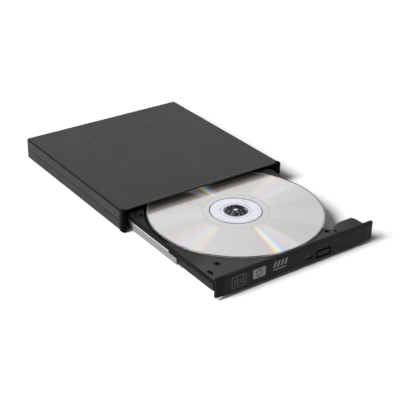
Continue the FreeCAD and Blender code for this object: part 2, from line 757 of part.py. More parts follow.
def tray():
    """The moulding, less the wider rear of the well and the slot over the sled."""
    moulding = tray_moulding()
    # behind the step the well is a little wider
    well_wide = doc.addObject("Part::Common", "well_wide")
    well_wide.Base = rod("well_wide_round", "disc_x", "disc_y", "well_floor", "well_radius", 5)
    well_wide.Tool = block("well_wide_half", -70, 70, "well_step", 40,
                           "well_floor", "well_floor+5")
    sled_slot = radial_box("sled_slot", (49.2, 12, 3), 12, -6, "tray_under-0.5",
                           SIZES["sled_angle"])
    with_well = minus("tray_with_well", moulding, well_wide)
    publish("tray", minus("tray", with_well, sled_slot))


def tray_underplate():
    """Steel plate under the tray, just inside the skirts' outline."""
    plate = Piece("tray_underplate")
    plate.pad("XY", 2.75, 0.4, poly(
        (-60.2, -99.6), (36.4, -99.6), (36.4, -92.6), (33.2, -89.1), (49.8, -60.1),
        (55.6, -45.9), (55.6, 24.6), (-60.2, 24.6)))
    plate.cut("XY", 2, 3, *circles(TRAY_SCREWS, 0.8))
    plate.cut("XY", 2, 3, rect(20, -30, 46, 6), circle("disc_x", "disc_y", 3))


def tray_screws():
    group("tray_screws", [
        screw("tray_screw_%d" % i, x, y, (2.42, 1.5, 0.33), (2.7, 0.7, 3.6))
        for i, (x, y) in enumerate(TRAY_SCREWS)])


# ---------------------------------------------------------------- bezel, button, window
def tray_bezel():
    """Front plate with swept-back ends and openings for button, window and pinhole."""
    bezel = Piece("tray_bezel")
    bezel.pad("XY", "bezel_low", "bezel_high-bezel_low", poly(
        ("-bezel_half", "-bezel_back"), ("-bezel_half", "-bezel_face+0.55"),
        ("-bezel_half+5", "-bezel_face"), ("bezel_half-5", "-bezel_face"),
        ("bezel_half", "-bezel_face+0.55"), ("bezel_half", "-bezel_back")))
    # the face leans back towards its top
    bezel.cut("YZ", -70, 140, poly(
        ("-bezel_face-1", "tray_top-0.2"), ("-bezel_face", "tray_top-0.2"),
        ("-bezel_face+0.45", "bezel_high+0.1"), ("-bezel_face-1", "bezel_high+0.1")))
    bezel.fillet(0.35, lambda e: at(e, "Z", "bezel_high") and not at(e, "Y", "-bezel_back")
                 and min(coords(e, "Y")) < -101)
    for opening in (rect("button_x0", "button_z0", "button_x1", "button_z1"),
                    rect("window_x0", "window_z0", "window_x1", "window_z1"),
                    circle("pinhole_x", "pinhole_z", "pinhole_radius")):
        bezel.cut("XZ", -99, 4, opening)


def eject_button():
    """Button cap, the flange behind the bezel and a stub towards the switch."""
    button = Piece("eject_button")
    button.pad("XZ", "-button_back", "bezel_face+button_proud-button_back",
               rect("button_x0+button_gap", "button_z0+button_gap",
                    "button_x1-button_gap", "button_z1-button_gap"))
    button.fillet(0.4, lambda e: along(e, "Y"))
    button.fillet(0.25, lambda e: at(e, "Y", "-bezel_face-button_proud"))
    button.pad("XZ", "-button_back", 0.7, rect("button_x0-0.9", 3.35, "button_x1+0.9", 9.2))
    button.pad("XZ", -98.3, 1.2, rect(19.6, 4.9, 22.4, 7.5))


def bezel_blocks():
    """Window, and the small board with its switch behind the button."""
    for entry in (
            ("led_window", "window_x0+window_gap", "window_x1-window_gap",
             "-bezel_face+0.85", -97.2, "window_z0+window_gap", "window_z1-window_gap"),
            ("eject_board", 3, 24, -96.6, -95.8, 3.4, 10.6),
            ("eject_switch", 18.6, 23.4, -97.5, -96.6, 4.0, 8.4)):
        publish(entry[0], block(*entry))


# ---------------------------------------------------------------- latch block
def latch_housing():
    """Hollow block in the front right corner, open underneath, with the lever's pivot."""
    housing = Piece("latch_housing")
    housing.pad("XY", "skirt_level", "latch_top-skirt_level", poly(
        (36.8, "-tray_front"), (36.8, -93.2), (38.4, -91.6), (41.0, -89.7), (44.5, -88.5),
        (48.5, -87.9), (57.6, -87.9), (58.8, -90.5), (59.2, "-tray_front")))
    housing.fillet(0.5, lambda e: at(e, "Z", "latch_top") and not at(e, "Y", "-tray_front"))
    housing.cut("XY", "skirt_level-1", "latch_roof-skirt_level+1", poly(
        (37.7, "-tray_front+0.9"), (37.7, -92.9), (38.9, -91.1), (41.4, -90.5),
        (44.7, -89.4), (48.6, -88.8), (57.0, -88.8), (57.9, -90.7),
        (58.2, "-tray_front+0.9")))
    # fine groove across the top
    housing.cut("XY", 13.55, 1, poly((52.8, -87), (53.1, -87), (54.4, -99), (54.1, -99)))
    # opening on the right for the lever's nose
    housing.cut("XY", 4.2, 2.8, rect(57.2, -93.9, 60, -89.0))
    housing.pad("XY", 4.0, 9.2, circle("lever_x", "lever_y", 0.8))


def latch_lever():
    lever = Piece("latch_lever")
    lever.pad("XY", 5.0, 1.2, poly(
        (53.4, -97.2), (55.6, -97.2), (57.4, -92.4), (57.7, -91.0), (59.15, -91.0),
        (59.15, -89.6), (56.6, -89.6), (55.9, -91.8)))
    lever.pad("XY", 4.6, 3.4, circle("lever_x", "lever_y", 1.5))
    lever.cut("XY", 4, 6, circle("lever_x", "lever_y", 0.86))


def latch_solenoid():
    """Coil along X with its core."""
    axis = ("solenoid_y", "solenoid_level")
    coil = rod("solenoid_coil", 41.5, *axis, 2.7, 8.5, "X")
    bore = rod("solenoid_bore", 41, *axis, 1.1, 10, "X")
    publish("latch_solenoid", minus("latch_solenoid", coil, bore))
    publish("solenoid_core", rod("solenoid_core", 41.2, *axis, 1.05, 10.5, "X"))


# ---------------------------------------------------------------- board in the tray
def tray_board():
    board_top = 4.5
    publish("tray_board", block("tray_board", -50, 26, -88.5, -58, 3.7, board_top))
    block_group("board_chips", [
        ("chip_main", -34, -20, -82, -68, board_top, 5.7),
        ("chip_driver", -8, 1, -84, -75, board_top, 5.6),
        ("chip_memory", 10, 18, -80, -69, board_top, 5.5),
        ("cable_clip", -48, -38.5, -66, -62, board_top, 6.3)])


# ---------------------------------------------------------------- spindle and disc
def spindle_piece(label, *outline, published=True):
    """A piece turned about the spindle axis from an outline of (radius, level)."""
    piece = Piece(label, "disc_x", "disc_y", published=published)
    piece.turned(*outline)
    return piece.body


def spindle():
    """Motor stator, shaft, rotor cup, turntable and its friction ring."""
    spindle_piece("spindle_motor", (1.36, 3.3), (14, 3.3), (14, 4.2), (11, 4.2), (11, 7.4),
                  (2.7, 7.4), (2.7, 9.2), (1.36, 9.2))
    spindle_piece("spindle_shaft", (0, 4.4), ("shaft_radius", 4.4), ("shaft_radius", 14.5),
                  ("shaft_radius-0.25", 14.7), (0, 14.7))
    spindle_piece("rotor_cup", ("shaft_radius", 9.5), (11.9, 9.5), (11.9, 5.0), (13.0, 5.0),
                  (13.5, 5.4), (13.5, 10.1), (13.0, 10.5), ("shaft_radius", 10.5))
    spindle_piece("turntable", ("shaft_radius", 10.5), (6, 10.5), (6, 11.9), (14.6, 11.9),
                  (14.9, 12.2), (14.9, 12.7), (14.6, 12.8), (8.5, 12.8), (8.5, 13.0),
                  ("shaft_radius", 13.0))
    spindle_piece("turntable_pad", (10.6, 12.8), (14.2, 12.8), (14.2, 13.0), (10.6, 13.0))


BALL_ANGLES = [90 + 120 * i for i in range(3)]


def ball_ring(kind, radius):
    """Three spheres near the hub's rim."""
    spheres = []
    for i, angle in enumerate(BALL_ANGLES):
        sphere = doc.addObject("Part::Sphere", "chuck_%s_%d" % (kind, i))
        sphere.Radius = radius
        place(sphere, *from_spindle(6.86, 0, angle), 14.3)
        spheres.append(sphere)
    return spheres


def chuck():
    """Hub that holds the disc, with seats for three balls, and the balls."""
    turning = spindle_piece(
        "hub_turning", ("shaft_radius", 13.0), ("hub_radius", 13.0), ("hub_radius", 14.25),
        (6.9, 14.55), (5.9, 14.7), (3.9, 14.7), (3.4, 14.35), (2.2, 14.35), (2.0, 14.55),
        ("shaft_radius", 14.55), published=False)
    seats = ball_ring("seat", 0.65)
    # slits that free the three sprung fingers, one on each side of every ball
    width = 0.35
    slits = [
        radial_box("hub_slit_%d_%d" % (i, side), (3.6, width, 1.4), 4.2, -width / 2, 13.7,
                   angle + 16 * side - 16)
        for i, angle in enumerate(BALL_ANGLES) for side in (0, 2)]
    publish("chuck_hub", minus("chuck_hub", turning, fuse("hub_tools", seats + slits)))
    group("chuck_balls", ball_ring("ball", 0.58))


def disc():
    low, high = "disc_level", "disc_level+disc_thick"
    spindle_piece("disc", ("disc_bore", low + "+0.1"), ("disc_bore+0.1", low),
                  ("disc_radius-0.15", low), ("disc_radius", low + "+0.15"),
                  ("disc_radius", high + "-0.15"), ("disc_radius-0.15", high),
                  ("disc_bore+0.1", high), ("disc_bore", high + "-0.1"))


# ---------------------------------------------------------------- pickup traverse
# Body frame: origin on the spindle axis, +X along the sled's travel away from the
# spindle, Y across it.
def traverse_piece(label, published=True):
    return Piece(label, "disc_x", "disc_y", turn=SIZES["sled_angle"], published=published)


def guide_rods():
    rods = []
    for kind, start, length in (("main_rod", 4.5, 61), ("sub_rod", 9.5, 56)):
        piece = traverse_piece(kind, published=False)
        piece.pad("YZ", start, length, circle(kind + "_t", "rod_level", kind + "_radius"))
        rods.append(piece.body)
    group("guide_rods", rods)


def rod_clamps():
    clamps = []
    # rod, which end, start and end along the travel
    for kind, end, start, stop in (("main", "near", 4.5, 6.9), ("main", "far", 63.4, 65.6),
                                   ("sub", "near", 9.5, 11.9), ("sub", "far", 63.4, 65.6)):
        across = kind + "_rod_t"
        clamp = traverse_piece("clamp_%s_%s" % (kind, end), published=False)
        clamp.pad("XY", "skirt_level", "tray_under-skirt_level-0.05",
                  rect(start, across + "-1.9", stop, across + "+1.9"))
        clamp.cut("YZ", 0, 80, circle(across, "rod_level", kind + "_rod_radius"))
        clamps.append(clamp.body)
    group("rod_clamps", clamps)


def sled_drive():
    """Motor and leadscrew, on one axis."""
    motor = traverse_piece("sled_motor")
    motor.pad("YZ", 3, 9.5, circle("screw_t", "rod_level", 3.2))
    motor.pad("YZ", 12.5, 0.4, circle("screw_t", "rod_level", 1.9))
    leadscrew = traverse_piece("leadscrew")
    leadscrew.pad("YZ", 13.1, 47.4, circle("screw_t", "rod_level", "screw_radius"))
    leadscrew.chamfer(0.25, lambda e: True)


def pickup_carriage():
    """Sled bored for both rods, recessed on top, with an arm towards the leadscrew."""
    carriage = traverse_piece("pickup_carriage")
    carriage.pad("XY", 4.4, 5.3, poly((18, -18.6), (31, -18.6), (31, 9), (29, 12), (29, 16.5),
                                      (23, 16.5), (22, 12), (18, 12)))
    for kind in ("main_rod", "sub_rod"):
        carriage.cut("YZ", 0, 80, circle(kind + "_t", "rod_level", kind + "_radius+rod_run"))
    carriage.cut("XY", 8.6, 2, rect(20, -11, 30, 8))
    carriage.pad("XY", 5.9, 1.8, rect(22, "screw_t+screw_radius+0.1", 26, -18))


def lens():
    """Lens holder and the objective lens."""
    holder = traverse_piece("lens_holder")
    holder.pad("XY", 8.6, 2.0, rect("lens_along-4", -5, "lens_along+4", 5))
    holder.pad("XY", 10.6, 0.4, circle("lens_along", 0, 3.4))
    holder.cut("XY", 8, 4, circle("lens_along", 0, "lens_radius"))
    objective = traverse_piece("objective_lens")
    objective.pad("XY", 10.2, 1.1, circle("lens_along", 0, "lens_radius"))
    objective.fillet(0.5, lambda e: at(e, "Z", 11.3))


# ================================================================ build, check, export
for build in (
        top_shell, bottom_shell, case_screws, rubber_feet,
        chassis_pan, chassis_cover, chassis_screws, drive_screws, left_guide, right_guide,
        ejector_plunger, bridge_board, board_screws, bridge_chips, connectors, usb_socket,
        dc_jack, flex_cable, left_rail, right_rail,
        tray, tray_underplate, tray_screws, tray_bezel, eject_button, bezel_blocks,
        latch_housing, latch_lever, latch_solenoid, tray_board, spindle, chuck, disc,
        guide_rods, rod_clamps, sled_drive, pickup_carriage, lens, ejector_spring):
    build()
doc.recompute()

for obj in doc.Objects:
    if "Invalid" in obj.State or "Error" in obj.State:
        raise RuntimeError("%s is not valid: %s" % (obj.Name, obj.State))
for label, obj in PIECES.items():
    shape = obj.Shape
    if shape.isNull() or not shape.isValid() or not shape.Solids:
        raise RuntimeError("%s has no valid solid" % label)
    if obj.Label != label:
        raise RuntimeError("%s is labelled %s" % (label, obj.Label))
for label, obj in PIECES.items():
    obj.Shape.exportStep(os.path.join("parts", label + ".step"))
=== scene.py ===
import json
import math
import random

import bmesh
import bpy
from mathutils import Matrix, Vector


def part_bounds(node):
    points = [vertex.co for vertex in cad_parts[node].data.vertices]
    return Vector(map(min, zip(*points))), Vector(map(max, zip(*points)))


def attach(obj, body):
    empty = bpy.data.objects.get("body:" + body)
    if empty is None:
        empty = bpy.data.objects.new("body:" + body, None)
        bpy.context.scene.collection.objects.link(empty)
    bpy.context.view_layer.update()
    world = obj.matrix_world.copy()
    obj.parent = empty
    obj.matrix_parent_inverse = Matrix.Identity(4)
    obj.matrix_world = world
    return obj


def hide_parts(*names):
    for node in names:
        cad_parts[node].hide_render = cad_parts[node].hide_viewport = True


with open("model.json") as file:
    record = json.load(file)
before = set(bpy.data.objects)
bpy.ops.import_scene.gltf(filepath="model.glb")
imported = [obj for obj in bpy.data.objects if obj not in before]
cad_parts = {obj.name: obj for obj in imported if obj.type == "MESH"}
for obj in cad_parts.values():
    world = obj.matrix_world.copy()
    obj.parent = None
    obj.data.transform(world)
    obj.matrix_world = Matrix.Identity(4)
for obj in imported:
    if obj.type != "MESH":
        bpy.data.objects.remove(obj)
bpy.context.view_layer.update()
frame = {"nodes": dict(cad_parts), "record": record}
random.seed(7)
MM = 0.001
SLOT_OF = {s["node"]: s["material_slot"] for s in frame["record"]["subparts"]}

CASE_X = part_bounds("top_shell")[1].x  # half the case's width
DISC_LO, DISC_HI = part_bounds("disc")
DISC_CENTRE = (DISC_LO + DISC_HI) / 2


# ------------------------------------------------------------------ shader helpers
class Graph:
    """The node tree being filled, with the nodes it holds only one of."""
    tree = None
    shared = {}


class Value:
    """A shader output that works in sums; each sum adds a Math node."""

    def __init__(self, socket):
        self.socket = socket

    def __add__(self, other):
        return math_node("ADD", self, other)

    def __sub__(self, other):
        return math_node("SUBTRACT", self, other)

    def __rsub__(self, other):
        return math_node("SUBTRACT", other, self)

    def __mul__(self, other):
        return math_node("MULTIPLY", self, other)

    def __truediv__(self, other):
        return math_node("DIVIDE", self, other)

    def __abs__(self):
        return math_node("ABSOLUTE", self)

    def clamped(self):
        """Holds the last sum to 0..1."""
        self.socket.node.use_clamp = True
        return self


def put(socket, value):
    """Links a Value or sets a constant; one number makes a grey in a colour socket."""
    if isinstance(value, Value):
        Graph.tree.links.new(value.socket, socket)
    elif value is not None:
        if socket.type == "RGBA":
            value = (*value, 1) if hasattr(value, "__len__") else (value, value, value, 1)
        socket.default_value = value


def node(kind, inputs=(), output=0, **attributes):
    made = Graph.tree.nodes.new("ShaderNode" + kind)
    for key, value in attributes.items():
        setattr(made, key, value)
    for key, value in dict(inputs).items():
        put(made.inputs[key], value)
    return Value(made.outputs[output])


def fill_tree(tree, output_kind, build):
    """Clears a node tree and links what build() returns to its output."""
    Graph.tree, Graph.shared = tree, {}
    tree.nodes.clear()
    end = tree.nodes.new("ShaderNode" + output_kind)
    put(end.inputs[0], build())


def shared(kind, output):
    if kind not in Graph.shared:
        Graph.shared[kind] = Graph.tree.nodes.new("ShaderNode" + kind)
    return Value(Graph.shared[kind].outputs[output])


def coord():
    return shared("TexCoord", "Object")


def geometry(output):
    return shared("NewGeometry", output)


def math_node(op, first, second=None, third=None):
    return node("Math", {0: first, 1: second, 2: third}, operation=op)


def larger(first, second):
    return math_node("MAXIMUM", first, second)


def vector_math(op, first, second=None):
    output = "Value" if op in ("DOT_PRODUCT", "LENGTH") else "Vector"
    return node("VectorMath", {0: first, 1: second}, output, operation=op)


def scaled(vector, scale):
    return node("VectorMath", {0: vector, "Scale": scale}, "Vector", operation="SCALE")


def xyz(vector=None):
    outputs = node("SeparateXYZ", {0: vector or coord()}).socket.node.outputs
    return [Value(outputs[i]) for i in range(3)]


def combine(x, y, z=0.0):
    return node("CombineXYZ", {0: x, 1: y, 2: z})


def stretched(scale, turn=0.0):
    """Object coordinates scaled per axis and turned about z."""
    return node("Mapping", {"Vector": coord(), "Scale": scale, "Rotation": (0, 0, turn)})


def noise(scale, detail=2.0, rough=0.5, at=None, distort=0.0):
    return node("TexNoise", {"Vector": at or coord(), "Scale": scale, "Detail": detail,
                             "Roughness": rough, "Distortion": distort})


def cells(scale, feature="F1", metric="EUCLIDEAN"):
    return node("TexVoronoi", {"Vector": coord(), "Scale": scale}, "Distance",
                feature=feature, distance=metric)


def ramp(position, stops, mode="LINEAR"):
    """Colour ramp; stops are (position, colour)."""
    value = node("ValToRGB", {0: position})
    bar = value.socket.node.color_ramp
    bar.interpolation = mode
    while len(bar.elements) > 1:
        bar.elements.remove(bar.elements[-1])
    for i, (place, colour) in enumerate(stops):
        stop = bar.elements[0] if i == 0 else bar.elements.new(place)
        stop.position = place
        stop.color = (*colour, 1)
    return value


def span(value, start, end, low=0.0, high=1.0, curve="LINEAR"):
    """Maps start..end to low..high."""
    return node("MapRange", {"Value": value, "From Min": start, "From Max": end,
                             "To Min": low, "To Max": high}, interpolation_type=curve)


def smooth(value, start, end, low=0.0, high=1.0):
    """Like span, eased at both ends; start may lie above end."""
    return span(value, start, end, low, high, "SMOOTHSTEP")


def mix(share, first, second, mode="MIX"):
    """Mixes colours."""
    return node("Mix", {0: share, 6: first, 7: second}, 2, data_type="RGBA", blend_type=mode)


def lay(colour, top, mask, amount):
    """Lays a top colour over another where the mask is, at most by the amount."""
    return mix(mask * amount, colour, top)


def blend(share, first, second):
    """Mixes plain numbers."""
    return node("Mix", {0: share, 2: first, 3: second}, data_type="FLOAT")


def stripes(value, rate):
    """Distance from the middle of each stripe, 0 to 0.5, at this many stripes per unit."""
    return abs(math_node("FRACT", value * rate) - 0.5)


def bevel_normal(radius):
    return node("Bevel", {"Radius": radius}, samples=4)


def edges(radius):
    """A mask that is 1 along sharp edges, and the rounded normal."""
    normal = bevel_normal(radius)
    flat = vector_math("DOT_PRODUCT", normal, geometry("True Normal"))
    return smooth(1.0 - flat, 0.02, 0.22), normal


def bump(height, strength, distance, normal=None):
    return node("Bump", {"Height": height, "Strength": strength, "Distance": distance,
                         "Normal": normal})


def principled(colour, rough, normal=None, **sockets):
    """Principled shader; further sockets are named with _ for each space."""
    inputs = {"Base Color": colour, "Roughness": rough, "Normal": normal}
    inputs.update({key.replace("_", " "): value for key, value in sockets.items()})
    return node("BsdfPrincipled", inputs)


def seen_from_below():
    """1 when the camera is under the floor."""
    eye = node("VectorTransform", {0: (0.0, 0.0, 0.0)}, vector_type="POINT",
               convert_from="CAMERA", convert_to="WORLD")
    return math_node("LESS_THAN", xyz(eye)[2], 0.0)


def tone(colour, gain=1.0, offset=0.0):
    return tuple(min(1, max(0, c * gain + offset)) for c in colour)


def grey(level):
    return (level, level, level)


MATERIALS = {}


def add_material(name, build, tagged=True):
    made = bpy.data.materials.new(name)
    made.use_nodes = True
    fill_tree(made.node_tree, "OutputMaterial", build)
    if tagged:
        made["slot"] = made.name
    MATERIALS[name] = made


def material(build):
    """Makes the material named after the function."""
    add_material(build.__name__, build)
    return build


# ------------------------------------------------------------------ plastics
def moulded(dark, light, grain, depth, rough, edge_wear_and_highlight, edge_radius=0.00022, strength=0.55):
    """Grained plastic with flow mottling, handling haze, and paler edges that are partly wear and
    partly a painted highlight.
    """
    fine = noise(grain, detail=3.0, rough=0.65)
    pit = cells(grain * 0.8)
    relief = fine * 0.7 + pit * 0.5
    mottle = noise(22.0, detail=4.0, rough=0.6)
    haze = noise(75.0, detail=5.0, rough=0.62, distort=0.6)
    speck = smooth(noise(grain * 0.55, detail=1.0, rough=0.4), 0.58, 0.72)
    edge, round_normal = edges(edge_radius)
    edge = (edge * span(noise(260.0, detail=3.0, rough=0.6), 0.35, 0.65, 0.35, 1.0)).clamped()
    colour = mix(span(mottle, 0.3, 0.7), dark, light)
    colour = lay(colour, tone(light, 1.9), speck, 0.25)
    # paler edges: partly wear, partly a painted highlight
    colour = lay(colour, tone(light, 3.2, 0.012), edge, edge_wear_and_highlight)
    gloss = span(haze, 0.25, 0.75, rough - 0.035, rough + 0.04) + (fine - 0.5) * 0.16
    gloss = (gloss - edge * 0.12).clamped()
    return colour, gloss, bump(relief, strength, depth, round_normal)


def painted_side_shade_mask():
    """1 on faces that look left or right, where painted shade darkens the sides."""
    return smooth(abs(xyz(geometry("Normal"))[0]), 0.6, 0.85)


@material
def case_plastic():
    x, y, z = xyz()
    colour, rough, normal = moulded(dark=(0.0185, 0.0187, 0.0176), light=(0.0225, 0.0227, 0.0213),
                                    grain=3600.0, depth=0.00003, rough=0.50, edge_wear_and_highlight=0.3)
    # painted shade: faces that look left or right are darkened
    side = painted_side_shade_mask()
    colour = mix(side, colour, scaled(colour, 0.62))
    # painted shade in the parting line and on the front face, a painted dark reflection along the
    # long upper edges, and black front corners
    seam_shade = smooth(z, 0.00915, 0.00880)
    colour = lay(colour, 0.002, seam_shade, 0.9)
    corner = side * smooth(y, 0.0019, 0.0012)
    colour = lay(colour, 0.003, corner, 0.9)
    long_edge_reflection = smooth(abs(x), CASE_X - 0.0011, CASE_X - 0.0006) * smooth(z, 0.01560, 0.01590)
    colour = lay(colour, 0.002, long_edge_reflection, 0.88)
    face = smooth(y, 0.00004, 0.00002) * smooth(z, 0.0159, 0.0158)
    colour = lay(colour, 0.003, face, 0.7)
    # painted highlight on the rolled front edge, brightest where it turns down
    lip = smooth(y, 0.0019, 0.0013) * smooth(z, 0.01600, 0.01640)
    patchy = span(noise(180.0, detail=3.0, rough=0.6), 0.3, 0.7, 0.6, 1.0)
    colour = lay(colour, (0.042, 0.043, 0.042), lip, patchy)
    brow_highlight = smooth(y, 0.00004, 0.00002) * smooth(z, 0.0159, 0.0160)
    colour = lay(colour, (0.13, 0.13, 0.128), brow_highlight, 0.8)
    # faint long wipe marks on the lid
    wipe = noise(1.0, detail=3.0, rough=0.6, at=stretched((260, 26, 60), turn=0.35))
    rough = (rough + smooth(wipe, 0.55, 0.75) * -0.05).clamped()
    shine = blend(side, 0.30, 0.24)
    shine = blend(larger(seam_shade, larger(long_edge_reflection, face)), shine, 0.06)
    shine = blend(corner, shine, 0.02)
    return principled(colour, rough, normal, Specular_IOR_Level=shine)


@material
def case_base_plastic():
    x, y, z = xyz()
    colour, rough, normal = moulded(dark=(0.0185, 0.0187, 0.0178), light=(0.0235, 0.0237, 0.0225),
                                    grain=1900.0, depth=0.00007, rough=0.56, edge_wear_and_highlight=0.3)
    # painted shade: faces that look left or right are darker, darkest just below the parting line
    side = painted_side_shade_mask()
    colour = mix(side, colour, scaled(colour, 0.64))
    colour = lay(colour, 0.003, smooth(z, 0.0078, 0.0081), side * 0.8)
    # the two front pillars are polished and blacker than the walls
    pillar = smooth(abs(x), 0.0641, 0.0642) * smooth(y, 0.00186, 0.00180)
    colour = mix(pillar, colour, (0.0030, 0.0031, 0.0034))
    polish = span(noise(420.0, detail=3.0, rough=0.6), 0.3, 0.7, 0.20, 0.30)
    rough = blend(pillar, rough, polish)
    normal = node("Mix", {0: pillar, 4: normal, 5: bevel_normal(0.0003)}, 1, data_type="VECTOR")
    # painted shade on the lowest strip of the walls and the underside, next to the floor
    bottom_shade = smooth(z, 0.0016, 0.0009)
    colour = lay(colour, 0.006, bottom_shade, 0.3)
    return principled(colour, rough, normal, Specular_IOR_Level=blend(pillar, 0.25, 0.022))


@material
def bezel_plastic():
    x, y, z = xyz()
    colour, rough, normal = moulded(dark=grey(0.0078), light=(0.0098, 0.0098, 0.0095),
                                    grain=3000.0, depth=0.000025, rough=0.46, edge_wear_and_highlight=0.4,
                                    strength=0.14)
    # painted dark reflections: fine upright stripes at the left end and in a narrow band near the
    # right one
    ends = larger(smooth(x, -0.0572, -0.0590),
                  smooth(x, 0.0600, 0.0603) * smooth(x, 0.0612, 0.0609))
    comb = smooth(stripes(x, 720.0), 0.10, 0.40)
    colour = lay(colour, 0.0015, ends, comb * 0.75 + 0.1)
    # painted shade in the gap round the button: distance outside a rectangle in x and z
    gap_x = abs(x - 0.0210) - 0.0057
    gap_z = abs(z - 0.0062) - 0.0023
    gap = smooth(abs(larger(gap_x, gap_z)), 0.00080, 0.00056) * smooth(y, -0.0996, -0.0998)
    colour = lay(colour, 0.0006, gap, 0.95)
    shine = blend(larger(gap, ends * (comb * 0.5)), 0.10, 0.02)
    return principled(colour, rough, normal, Specular_IOR_Level=shine)


DECK_HOLES = ((-0.0506, -0.0846), (0.0321, -0.0921))  # x, y
DECK_HOLE_SHADE_REACH = 0.0029  # radius of the painted shade round a hole


@material
def tray_plastic():
    x, y, z = xyz()
    colour, rough, normal = moulded(dark=(0.0225, 0.0225, 0.0218), light=(0.0285, 0.0285, 0.0275),
                                    grain=2600.0, depth=0.00003, rough=0.42, edge_wear_and_highlight=0.45)
    face_x = xyz(geometry("Normal"))[0]
    # the deck is paler in clouds behind the strip along the bezel
    cloud = smooth(noise(38.0, detail=3.0, rough=0.6), 0.3, 0.7)
    pale = smooth(y, -0.0990, -0.0880) * cloud
    colour = lay(colour, (0.034, 0.034, 0.0325), pale, 0.45)
    # the deck's ends are darker than its middle
    ends = larger(smooth(x, 0.030, 0.052),
                  smooth(x, -0.044, -0.058) * smooth(y, -0.085, -0.070))
    colour = lay(colour, (0.0105, 0.0105, 0.0102), ends, 0.62)
    holes = 0.0
    # painted shade round each hole
    for hole_x, hole_y in DECK_HOLES:
        away = vector_math("LENGTH", combine(x - hole_x, y - hole_y))
        near = smooth(away, DECK_HOLE_SHADE_REACH, DECK_HOLE_SHADE_REACH - 0.0013)
        colour = lay(colour, 0.0020, near, 0.9)
        holes = larger(near, holes)
    # painted shade on the left strip, pocket, well, rim and flank, which are also smoother
    strip = smooth(y, -0.0469, -0.0465) * smooth(x, -0.0380, -0.0420)
    pocket = smooth(z, 0.01262, 0.01258) * smooth(z, 0.0105, 0.0108)
    well = smooth(z, 0.01318, 0.01312) * smooth(z, 0.0108, 0.0112)
    well = well * larger(1.0 - strip, pocket)
    rim = smooth(face_x, -0.35, -0.6) * smooth(z, 0.0097, 0.0099)
    flank = smooth(face_x, -0.35, -0.6) * smooth(z, 0.0099, 0.0097)
    strip_shade_patches = mix(smooth(noise(210.0, detail=3.0, rough=0.6), 0.42, 0.62),
                (0.0070, 0.0070, 0.0068), (0.0185, 0.0185, 0.0178))
    colour = lay(colour, strip_shade_patches, strip, 0.9)
    colour = lay(colour, 0.0075, flank, 0.85)
    dark = larger(well * 0.92, rim)
    colour = mix(dark, colour, (0.0016, 0.0016, 0.0018))
    dull = larger(dark, larger(flank * 0.7, strip * 0.6))
    dull = larger(dull, larger(holes * 0.9, ends * 0.45))
    return principled(colour, rough, normal, Specular_IOR_Level=blend(dull, 0.30, 0.05))


@material
def hub_plastic():
    colour, rough, normal = moulded(dark=(0.0025, 0.003, 0.008), light=(0.005, 0.006, 0.014),
                                    grain=2600.0, depth=0.00002, rough=0.30, edge_wear_and_highlight=1.0,
                                    edge_radius=0.00014)
    fleck = smooth(cells(640.0), 0.34, 0.20)
    colour = lay(colour, (0.50, 0.51, 0.60), fleck, smooth(noise(480.0), 0.42, 0.48))
    return principled(colour, rough, normal, Specular_IOR_Level=0.12)


# specular level, then the moulded() look
PLAIN_PLASTICS = {
    # lighter than the tray as a painted highlight, with worn edges
    "tray_worn_and_lit": (0.35, dict(dark=(0.034, 0.034, 0.033), light=(0.050, 0.050, 0.048),
                             grain=2600.0, depth=0.00003, rough=0.40, edge_wear_and_highlight=0.9)),
    "guide_plastic": (0.45, dict(dark=(0.010, 0.010, 0.011), light=(0.015, 0.015, 0.016),
                                 grain=2400.0, depth=0.00002, rough=0.38, edge_wear_and_highlight=0.5)),
    "connector_plastic": (0.5, dict(dark=(0.62, 0.58, 0.48), light=(0.70, 0.66, 0.56),
                                    grain=2200.0, depth=0.00002, rough=0.42, edge_wear_and_highlight=0.15)),
    "connector_dark": (0.5, dict(dark=(0.012, 0.012, 0.013), light=(0.018, 0.018, 0.019),
                                 grain=2400.0, depth=0.00002, rough=0.42, edge_wear_and_highlight=0.4)),
    "chip_epoxy": (0.35, dict(dark=grey(0.012), light=(0.020, 0.020, 0.021),
                              grain=5200.0, depth=0.00002, rough=0.60, edge_wear_and_highlight=0.3)),
}
for name, (specular, look) in PLAIN_PLASTICS.items():
    add_material(name, lambda: principled(*moulded(**look), Specular_IOR_Level=specular))


@material
def light_pipe():
    haze = noise(900.0, detail=3.0, rough=0.6)
    colour = mix(span(haze, 0.3, 0.7), (0.006, 0.0065, 0.006), (0.010, 0.011, 0.010))
    normal = bump(noise(1500.0), strength=0.25, distance=0.00003)
    return principled(colour, span(haze, 0.3, 0.7, 0.12, 0.24), normal,
                      Specular_IOR_Level=0.25, Coat_Weight=0.15, Coat_Roughness=0.12)


@material
def rubber():
    fine = noise(4200.0, detail=3.0, rough=0.7)
    dust = smooth(noise(600.0, detail=5.0, rough=0.7), 0.52, 0.75)
    edge, round_normal = edges(0.0003)
    colour = mix(dust, 0.013, (0.030, 0.029, 0.027))
    colour = lay(colour, (0.05, 0.05, 0.048), edge, 0.4)
    normal = bump(fine, strength=0.6, distance=0.00006, normal=round_normal)
    return principled(colour, span(fine, 0.3, 0.7, 0.72, 0.92), normal,
                      Specular_IOR_Level=0.3, Sheen_Weight=0.12, Sheen_Roughness=0.5)


